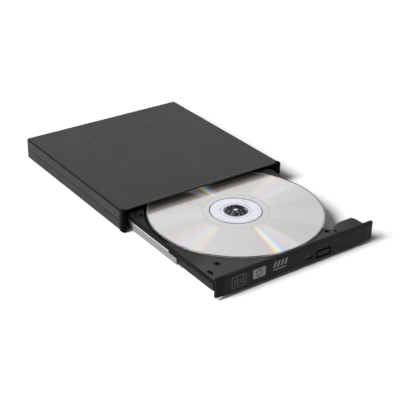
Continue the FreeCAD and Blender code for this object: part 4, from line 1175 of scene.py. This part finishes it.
screw_set("case_screws", "housing",
          downward("case_screws", [(-56.0, 131.8), (56.0, 131.8)], (17, 57)),
          head_radius=1.93, head=1.34, shank=1.05, length=7.4, pitch=0.6)
board_screw_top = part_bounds("board_screws")[1].z / MM
screw_set("board_screws", "housing",
          [shift(side * 46.0, 132.6, board_screw_top) @ spin(31 * side) for side in (-1, 1)],
          head_radius=1.68, head=1.0, shank=0.9, length=2.05, pitch=0.45)
screw_set("drive_screws", "housing",
          downward("drive_screws", [(-40, 30), (40, 30), (-40, 105), (40, 105)],
                   range(0, 52, 13)),
          head_radius=1.88, head=0.42, shank=1.0, length=1.2, pitch=0.35)
screw_set("tray_screws", "tray",
          downward("tray_screws", [(-55.5, -94.5), (27.5, -91.0), (50, 18), (-54, 19.4)],
                   range(0, 116, 29)),
          head_radius=1.48, head=0.31, shank=0.7, length=3.5, pitch=0.4)
chassis_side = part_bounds("chassis_screws")[1].x / MM
screw_set("chassis_screws", "housing",
          [shift(side * chassis_side, y, 13.2) @ Matrix.Rotation(side * math.pi / 2, 4, "Y")
           @ spin(20 + y) for side in (-1, 1) for y in (20, 110)],
          head_radius=1.38, head=0.42, shank=0.78, length=0.62, pitch=0.3)

# ------------------------------------------------------------------ feet
# radius, height: ringed sole at z = 0
FOOT_PROFILE = [
    (0.0, 0.12), (1.25, 0.12), (1.35, 0.0), (1.95, 0.0), (2.1, 0.2), (2.45, 0.2), (2.6, 0.0),
    (3.2, 0.0), (3.35, 0.2), (3.7, 0.2), (3.85, 0.0), (4.35, 0.0), (4.7, 0.14), (4.93, 0.36),
    (5.0, 0.6), (5.0, 1.08), (0.0, 1.08)]
piece("rubber_feet_moulded",
      merge(*[lathe(FOOT_PROFILE, (x, y, 0), 72) for x in (-55, 55) for y in (14, 124)]),
      "rubber", "housing", "rubber_feet")

# ------------------------------------------------------------------ chips
TRAY_BOARD_TOP = 4.5
BRIDGE_BOARD_TOP = 4.4
LEAD = 0.45  # how far the leads reach past a chip's body
STAND = 0.12  # gap between a chip's body and the board


def package(x0, x1, y0, y1, z0, z1, pitch=0.8, sides="xy"):
    """A chip body with a corner dimple, and gull-wing leads on the sides facing these axes."""
    dimple = drill(0.32, z1 - 0.08, z1 + 0.3, (x0 + LEAD + 1.0, y1 - LEAD - 1.0, 0), 16)
    body = carve(brick(x0 + LEAD, x1 - LEAD, y0 + LEAD, y1 - LEAD, z0 + STAND, z1, 0.14),
                 [dimple])
    leads = []
    middle = z0 + STAND + (z1 - z0 - STAND) * 0.45
    foot = z0 + 0.07
    for axis in sides:
        start, end = (x0, x1) if axis == "y" else (y0, y1)
        ends = (y0, y1) if axis == "y" else (x0, x1)
        gaps = int((end - start - 2 * LEAD - 1.0) / pitch)
        for i in range(gaps + 1):
            place = (start + end) / 2 + (i - gaps / 2) * pitch
            for tip, sign in zip(ends, (-1, 1)):
                points = [(tip - sign * (LEAD + 0.1), middle), (tip - sign * LEAD * 0.6, middle),
                          (tip - sign * LEAD * 0.45, foot), (tip, foot)]
                path = [(place, out, z) if axis == "y" else (out, place, z) for out, z in points]
                leads.append(tube(path, 0.07, 4))
    return body, leads


def chip_set(stem, replaced, body, chips, other):
    bodies, leads = [], []
    for chip in chips:
        chip_body, chip_leads = package(*chip)
        bodies.append(chip_body)
        leads += chip_leads
    piece(stem + "_bodies", merge(*bodies, other), "chip_epoxy", body, replaced)
    piece(stem + "_leads", merge(*leads), "solder_tin", body)


# x0, x1, y0, y1, z0, z1, lead pitch, axes the leads face
TRAY_CHIPS = [(-34, -20, -82, -68, TRAY_BOARD_TOP, 5.7), (-8, 1, -84, -75, TRAY_BOARD_TOP, 5.6),
              (10, 18, -80, -69, TRAY_BOARD_TOP, 5.5, 0.8, "x")]
BRIDGE_CHIPS = [(-4, 6, 130, 135.6, BRIDGE_BOARD_TOP, 5.5, 0.65, "y"),
                (-27.5, -23.5, 130.4, 134.6, BRIDGE_BOARD_TOP, 5.9, 1.2, "y")]
grooved_block = carve(brick(-48, -38.5, -66, -62, TRAY_BOARD_TOP, 6.3, 0.15),
                      [brick(-47.3, -39.2, -66.5, -64.4, 5.0, 5.7),
                       brick(-47.0, -39.5, -63.4, -62.6, 5.9, 6.6)])
chip_set("board_chip", "board_chips", "tray", TRAY_CHIPS, grooved_block)
crystal = merge(slab(round_rect(7.4, 11.4, 133.4, 135.6, 1.0, 6), BRIDGE_BOARD_TOP, 5.45, 0.25, 3),
                slab(round_rect(7.6, 11.2, 133.6, 135.4, 0.85, 6), 5.40, 5.70, 0.12))
chip_set("bridge_chip", "bridge_chips", "housing", BRIDGE_CHIPS, crystal)

# ------------------------------------------------------------------ small board parts
PART_SIZES = [(1.6, 0.8, 0.5), (2.0, 1.25, 0.7), (1.0, 0.5, 0.35), (3.0, 1.6, 0.9)]  # l, w, h


def part_box(x, y, along_x, start, end, half_width, z, height):
    """A brick from start to end along a part's length."""
    if along_x:
        sides = (x + start, x + end, y - half_width, y + half_width)
    else:
        sides = (x - half_width, x + half_width, y + start, y + end)
    return brick(*sides, z, z + height, 0.06, 1)


def scatter(stem, body, area, z, count, seed, avoid):
    """Surface-mount parts, body and two end caps each, kept off the given boxes."""
    x0, x1, y0, y1 = area
    rng = random.Random(seed)
    bodies, caps, taken = [], [], list(avoid)
    for _ in range(4000):
        if len(bodies) == count:
            break
        length, width, height = rng.choice(PART_SIZES)
        along_x = rng.random() < 0.5
        size_x, size_y = (length, width) if along_x else (width, length)
        x = rng.uniform(x0 + size_x, x1 - size_x)
        y = rng.uniform(y0 + size_y, y1 - size_y)
        left, right = x - size_x / 2 - 0.25, x + size_x / 2 + 0.25
        front, back = y - size_y / 2 - 0.25, y + size_y / 2 + 0.25
        if any(left < box[1] and right > box[0] and front < box[3] and back > box[2]
               for box in taken):
            continue
        taken.append((left, right, front, back))
        half, cap = length / 2, 0.18 * length
        bodies.append(part_box(x, y, along_x, -half + cap, half - cap, width / 2, z, height))
        for start, end in ((-half, -half + cap), (half - cap, half)):
            caps.append(part_box(x, y, along_x, start, end, width / 2 + 0.02, z, height + 0.02))
    piece(stem + "_parts", merge(*bodies), "diecast", body)
    piece(stem + "_caps", merge(*caps), "solder_tin", body)


# boxes are x0, x1, y0, y1
scatter("tray_board", "tray", area=(-49, 25, -87.6, -58.8), z=TRAY_BOARD_TOP, count=46, seed=3,
        avoid=[(-35, -19, -83, -67), (-9, 2, -85, -74), (9, 19, -81, -68),
               (-49, -37.5, -67, -61)])
scatter("bridge_board", "housing", area=(-43, 15.5, 129.6, 135.6), z=BRIDGE_BOARD_TOP, count=14,
        seed=5,
        avoid=[(-4.6, 6.6, 129, 136), (7, 12, 133, 136), (-28.2, -23, 129, 136),
               (-38.3, -30, 129, 137.6), (-16, -8, 129, 137.6), (2, 6.4, 130.5, 134.6)])

# ------------------------------------------------------------------ boards, switch, light pipe
TRAY_BOARD_OUTLINE = [(-50, -88.5), (24.5, -88.5), (26, -87), (26, -60), (24, -58), (-34, -58),
                      (-35, -59.2), (-41, -59.2), (-42, -58), (-50, -58)]
# x, y, radius
TRAY_BOARD_HOLES = [(-47.5, -85.5, 1.1), (23.5, -86, 1.1), (22, -61, 0.9), (-15, -61, 0.6),
                    (-12, -61, 0.6), (-9, -61, 0.6), (4, -86, 0.5), (6.2, -86, 0.5)]
holes = [drill(radius, 3.5, 4.7, (x, y, 0), 20) for x, y, radius in TRAY_BOARD_HOLES]
piece("tray_board_routed",
      carve(slab(TRAY_BOARD_OUTLINE, 3.7, TRAY_BOARD_TOP, 0.05, 1), holes),
      "circuit_board", "tray", "tray_board")
holes = [drill(0.5, -97, -95, (x, 0, 9.6), 16, "y") for x in (5, 7, 12, 22)]
piece("eject_board_routed", carve(brick(3, 24, -96.6, -95.8, 3.4, 10.6, 0.08, 1), holes),
      "circuit_board", "tray", "eject_board")

BUTTON_PROFILE = [(0.0, -97.5), (0.9, -97.5), (1.05, -97.42), (1.05, -97.2), (0.0, -97.2)]
piece("eject_switch_cap",
      merge(brick(18.6, 23.4, -97.3, -96.6, 4.0, 8.4, 0.12),
            brick(18.9, 23.1, -97.42, -97.25, 4.3, 8.1, 0.08, 1),
            lathe(BUTTON_PROFILE, (21.0, 0, 6.2), 24, "y")),
      "chip_epoxy", "tray", "eject_switch")
piece("eject_switch_legs",
      merge(*[tube([(x, -96.9, z), (x + side * 0.35, -96.9, z), (x + side * 0.4, -96.62, z)],
                   0.12, 6) for x, side in ((18.6, -1), (23.4, 1)) for z in (4.8, 7.6)]),
      "solder_tin", "tray")
piece("led_light_pipe", merge(brick(5.72, 11.68, -101.5, -100.6, 5.52, 7.78, 0.22, 3),
                              brick(6.0, 11.4, -100.7, -97.2, 5.8, 7.5, 0.2)),
      "light_pipe", "tray", "led_window")

# ------------------------------------------------------------------ connectors
PIN_STEPS = [1.27 * i for i in range(20)]
slots = [brick(17.4 + step, 18.1 + step, 128.8, 130.4, z, z + 0.9)
         for step in PIN_STEPS for z in (5.4, 7.2)]
piece("bridge_connector_housing",
      carve(brick(16.2, 43.8, 129.1, 131.6, BRIDGE_BOARD_TOP, 9.0, 0.2), slots),
      "connector_plastic", "housing", "bridge_connector")
PIN_PATH = [(131.5, 5.8), (132.2, 5.8), (132.4, 4.46), (133.2, 4.46)]  # y, z
piece("bridge_connector_pins",
      merge(*[tube([(17.75 + step, y, z) for y, z in PIN_PATH], 0.13, 4) for step in PIN_STEPS]),
      "solder_tin", "housing")
piece("drive_connector_contacts",
      merge(*[brick(17.6 + step, 18.2 + step, 124.93, 126.1, 7.78, 7.86, 0.02, 1)
              for step in PIN_STEPS]),
      "gold_contact", "housing")
piece("usb_tongue_moulded", merge(brick(-36.55, -31.75, 131.5, 136.1, 6.18, 6.92, 0.12),
                                  brick(-36.3, -32.0, 136.0, 136.3, 6.3, 6.8, 0.1)),
      "connector_dark", "housing", "usb_tongue")
piece("usb_contacts",
      merge(*[brick(-35.9 + 0.8 * i, -35.5 + 0.8 * i, 132.0, 136.0, 6.12, 6.20, 0.02, 1)
              for i in range(5)]),
      "gold_contact", "housing")
PIN_PROFILE = [(0.0, 131.5), (0.6, 131.5), (0.6, 135.9), (0.5, 136.2), (0.3, 136.42), (0.0, 136.5)]
piece("dc_pin_turned", lathe(PIN_PROFILE, (-12.0, 0, 7.9), 32, "y"), "brass", "housing", "dc_pin")


# ------------------------------------------------------------------ latch solenoid, along x
def solenoid_coil():
    """A bobbin with a ridge for each turn of wire."""
    profile = [(1.12, 0.0), (2.7, 0.0), (2.7, 0.5), (2.35, 0.55)]
    turn = 0.75
    while turn < 7.75:
        profile += [(2.32, turn - 0.09), (2.44, turn), (2.32, turn + 0.09)]
        turn += 0.2
    profile += [(2.35, 7.95), (2.7, 8.0), (2.7, 8.5), (1.12, 8.5)]
    return lathe(profile, steps=48, axis="x")


SOLENOID_YZ = (-94.6, 8.2)
CORE_PROFILE = [(0.0, 0.0), (0.9, 0.0), (1.05, 0.15), (1.05, 8.6), (0.7, 8.7), (0.7, 9.3),
                (1.05, 9.4), (1.05, 10.2), (0.85, 10.5), (0.0, 10.5)]
piece("latch_solenoid_wound", moved(solenoid_coil(), 41.5, *SOLENOID_YZ),
      "copper_coil", "tray", "latch_solenoid")
piece("solenoid_core_turned",
      moved(lathe(CORE_PROFILE, steps=40, axis="x"), 41.2, *SOLENOID_YZ),
      "shaft_steel", "tray", "solenoid_core")

# ------------------------------------------------------------------ sled: screw, rods, motor
# The sled's frame is (travel, across, height) from the spindle axis, turned 135 degrees.
SLED = Matrix.Translation(Vector((DISC_CENTRE.x, DISC_CENTRE.y, 0))) @ spin(135.0)
ROD_Z = 6.8
LEADSCREW_ACROSS = -22.0


def sled_piece(name, solid, finish, body, replaces=None, sharp=30.0):
    piece(name, transformed(solid, SLED), finish, body, replaces, sharp)


def leadscrew(start=13.1, length=47.4, core=1.02, crest=1.3, pitch=3.0, steps=28, per_turn=14):
    """A rod with a helical groove and plain ends, the tips stepped down."""
    solid = bmesh.new()
    count = int(length / pitch * per_turn)
    rings = []
    for i in range(count + 1):
        along = length * i / count
        threaded = 1.2 < along < length - 1.2
        ring = []
        for j in range(steps):
            angle = 2 * math.pi * j / steps
            phase = (along / pitch - angle / (2 * math.pi)) % 1.0
            lift = max(0.0, min(1.0, (0.5 - abs(phase - 0.5)) / 0.18 - 0.55))
            radius = crest - (crest - core) * (1 - lift) * threaded
            if along < 0.25 or along > length - 0.25:
                radius = crest - 0.25
            ring.append(solid.verts.new(((start + along) * MM,
                                         (LEADSCREW_ACROSS + radius * math.cos(angle)) * MM,
                                         (ROD_Z + radius * math.sin(angle)) * MM)))
        rings.append(ring)
    for first, second in zip(rings, rings[1:]):
        for j in range(steps):
            k = (j + 1) % steps
            solid.faces.new((first[j], second[j], second[k], first[k]))
    solid.faces.new(rings[0])
    solid.faces.new(rings[-1][::-1])
    return solid


def guide_rod(start, length, across, radius):
    """A round rod with chamfered ends and a groove near its start."""
    profile = [(0.0, 0.0), (radius - 0.25, 0.0), (radius, 0.25), (radius, 1.2),
               (radius - 0.12, 1.3), (radius - 0.12, 1.6), (radius, 1.7),
               (radius, length - 0.25), (radius - 0.25, length), (0.0, length)]
    return moved(lathe(profile, steps=32, axis="x"), start, across, ROD_Z)


sled_piece("leadscrew_threaded", leadscrew(), "shaft_steel", "leadscrew", "leadscrew", 40)
sled_piece("guide_rods_ground", merge(guide_rod(4.5, 61, -16.0, 1.25),
                                      guide_rod(9.5, 56, 14.0, 1.0)),
           "shaft_steel", "tray", "guide_rods")
MOTOR_PROFILE = [
    (0.0, 0.0), (1.2, 0.0), (1.3, 0.25), (2.7, 0.25), (3.0, 0.1), (3.2, 0.3), (3.2, 2.0),
    (3.12, 2.05), (3.12, 2.25), (3.2, 2.3), (3.2, 8.9), (3.0, 9.4), (2.0, 9.5), (1.9, 9.6),
    (1.9, 9.85), (1.75, 9.9), (0.0, 9.9)]
motor = moved(lathe(MOTOR_PROFILE, steps=56, axis="x"), 3.0, LEADSCREW_ACROSS, ROD_Z)
motor = carve(motor, [brick(2.5, 3.22, -23.9, -22.9, 7.6, 8.6),
                      brick(2.5, 3.22, -21.1, -20.1, 7.6, 8.6),
                      brick(6.0, 10.0, -22.5, -21.5, 9.85, 10.3)])
sled_piece("sled_motor_can", motor, "sheet_steel", "tray", "sled_motor")

# ------------------------------------------------------------------ pickup
LENS_TRAVEL = 26
sled_piece("pickup_magnets", brick(20.3, 21.7, -5.5, 5.5, 8.62, 9.9, 0.12),
           "screw_steel", "pickup")
# travel, across, turn
PICKUP_SCREWS = [(29.3, -15.2, 20), (20.0, -13.4, 55), (27.2, 11.0, 5)]
sled_piece("pickup_screws",
           copies(screw(head_radius=1.05, head=0.5, shank=0.6, length=0.5, pitch=0.3),
                  [shift(x, y, 10.12) @ spin(turn) for x, y, turn in PICKUP_SCREWS]),
           "screw_steel", "pickup")


def lens_dome():
    profile = [(0.0, 11.3)]
    for degrees in range(12, 85, 12):
        angle = math.radians(degrees)
        profile.append((2.0 * math.sin(angle), 10.72 + 0.58 * math.cos(angle)))
    profile += [(2.05, 10.7), (2.28, 10.66), (2.3, 10.58), (2.3, 10.2), (0.0, 10.2)]
    return moved(lathe(profile), LENS_TRAVEL, 0, 0)


def lens_holder():
    """A block bored for the lens, notched at both ends, with a collar on top."""
    centre = (LENS_TRAVEL, 0, 0)
    block = carve(brick(22, 30, -5, 5, 8.6, 10.6, 0.25, 3),
                  [drill(2.32, 8, 12, centre, 48), brick(21.5, 23.0, -3.0, 3.0, 9.6, 11),
                   brick(29.0, 30.5, -3.0, 3.0, 9.6, 11)])
    collar = lathe([(2.32, 10.5), (3.4, 10.5), (3.4, 10.85), (3.2, 11.0), (2.6, 11.0),
                    (2.32, 10.8)], centre, 56)
    return merge(block, collar)


sled_piece("objective_lens_dome", lens_dome(), "lens_glass", "pickup", "objective_lens", 40)
sled_piece("lens_holder_moulded", lens_holder(), "guide_plastic", "pickup", "lens_holder")
sled_piece("lens_focus_coils",
           merge(*[tube([(x, y, 8.9), (x, y, 10.2)], 0.22, 10)
                   for x in (22.2, 22.2 + 7.6) for y in (-4.4, 4.4)]),
           "copper_coil", "pickup")

# ------------------------------------------------------------------ guide, beads, label
piece("left_guide_ribbed",
      carve(brick(-63.5, -60.5, 4, 124, 2.3, 3.65, 0.12),
            [brick(-62.9, -61.1, 8 + 10 * i, 16 + 10 * i, 3.2, 4.2) for i in range(11)]),
      "guide_plastic", "housing", "left_guide")
# pressed beads under the tray's steel plate: x0, x1, middle y
BEADS = [(-46, -12, -70), (-46, -12, -62), (2, 26, -70), (2, 26, -62), (-50, -24, 14),
         (-50, -24, 6)]
piece("underplate_beads",
      merge(*[slab(round_rect(x0, x1, y - 1.4, y + 1.4, 1.39, 7), 2.55, 2.80, 0.16)
              for x0, x1, y in BEADS]),
      "sheet_steel", "tray")
# a plain foil plate under the case
piece("base_label", slab(round_rect(-28, 28, 84, 116, 1.5, 6), 0.72, 0.805, 0.02, 1),
      "label_foil", "housing")


# ------------------------------------------------------------------ stage (metres from here on)
def sheet(name, corners):
    mesh = bpy.data.meshes.new(name)
    mesh.from_pydata(corners, [], [(0, 1, 2, 3)])
    obj = bpy.data.objects.new(name, mesh)
    bpy.context.scene.collection.objects.link(obj)
    return obj


FLOOR = 6.0  # half the floor's side
floor = sheet("stage_floor",
              [(-FLOOR, -FLOOR, 0), (FLOOR, -FLOOR, 0), (FLOOR, FLOOR, 0), (-FLOOR, FLOOR, 0)])
floor.data.materials.append(MATERIALS["stage_paper"])
floor.location = (0, 0, -0.00002)

# A low warm card over the case's front edge, hidden from the camera, seen in reflections: it
# paints a dark reflection band in the disc along the case's front.
case_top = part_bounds("top_shell")[1]
card_low, card_high = case_top.z - 0.0031, case_top.z + 0.0037
card_x, card_y = case_top.x - 0.002, -0.0003
card = sheet("stage_flag", [(-card_x, card_y, card_low), (card_x, card_y, card_low),
                            (card_x, card_y, card_high), (-card_x, card_y, card_high)])
card.data.materials.append(MATERIALS["stage_flag"])
card.visible_camera = False
card.visible_diffuse = False
card.visible_shadow = False

# ------------------------------------------------------------------ world
AMBIENT = 0.15  # the world's strength for diffuse rays
SKY = [(0.0, grey(0.95)), (0.42, (0.84, 0.838, 0.836)), (1.0, (0.62, 0.62, 0.63))]


def studio_sky():
    """Near-white sky for camera and glossy rays, an even dim one for diffuse rays."""
    direction = shared("TexCoord", "Generated")
    x, _, z = xyz(direction)
    # a little darker to the left, and to the right and front
    left = smooth(x, -0.05, -0.50, 1.0, 0.80)
    rightward = vector_math("DOT_PRODUCT", direction, (0.81, -0.59, 0.0))
    right = smooth(rightward, 0.02, 0.13, 1.0, 0.83)
    sky = node("Background", {0: scaled(ramp(z, SKY), left * right), 1: 1.0})
    dim = node("Background", {0: 1.0, 1: AMBIENT})
    return node("MixShader", {0: node("LightPath", output="Is Diffuse Ray"), 1: sky, 2: dim})


world = bpy.data.worlds.new("studio")
bpy.context.scene.world = world
world.use_nodes = True
fill_tree(world.node_tree, "OutputWorld", studio_sky)


# ------------------------------------------------------------------ lights
def sun(name, energy, angle, place, direction):
    data = bpy.data.lights.new(name, "SUN")
    data.energy = energy
    data.angle = math.radians(angle)
    obj = bpy.data.objects.new(name, data)
    obj.location = place
    obj.rotation_mode = "QUATERNION"
    obj.rotation_quaternion = Vector(direction).to_track_quat("-Z", "Y")
    bpy.context.scene.collection.objects.link(obj)
    return obj


def key_glow():
    """Nearly off seen from below, where it would only glint off faces it grazes."""
    level = math_node("MULTIPLY_ADD", seen_from_below(), -0.97, 1.0)
    return node("Emission", {"Strength": level})


key = sun("key_softbox", energy=4.75, angle=27, place=(-0.8, 0.1, 0.7),
          direction=(1.0, -0.05, -0.86))
key.data.use_nodes = True
fill_tree(key.data.node_tree, "OutputLight", key_glow)
# The paper stops this one, so it shows only when the paper is clear.
under = sun("under_light", energy=3.2, angle=60, place=(0.2, -0.3, -0.6),
            direction=(0.25, 0.35, 1.0))
under.visible_glossy = False

# ------------------------------------------------------------------ camera
lens = bpy.data.cameras.new("camera")
lens.sensor_fit = "HORIZONTAL"
lens.sensor_width = 36.0
lens.lens = 90.146
lens.shift_x = -0.0088875
lens.clip_start = 0.01
lens.clip_end = 20.0
camera = bpy.data.objects.new("camera", lens)
view_right = Vector((0.813638202, -0.581079758, 0.018417137))
view_up = Vector((0.261190169, 0.393657858, 0.881370062))
view_back = Vector((-0.519396353, -0.712305978, 0.472067392))
pose = Matrix((view_right, view_up, view_back)).transposed().to_4x4()
pose.translation = Vector((-365.4797, -501.0129, 336.7654)) * MM
camera.matrix_world = pose
bpy.context.scene.collection.objects.link(camera)
bpy.context.scene.camera = camera
bpy.context.scene.view_settings.view_transform = "Standard"
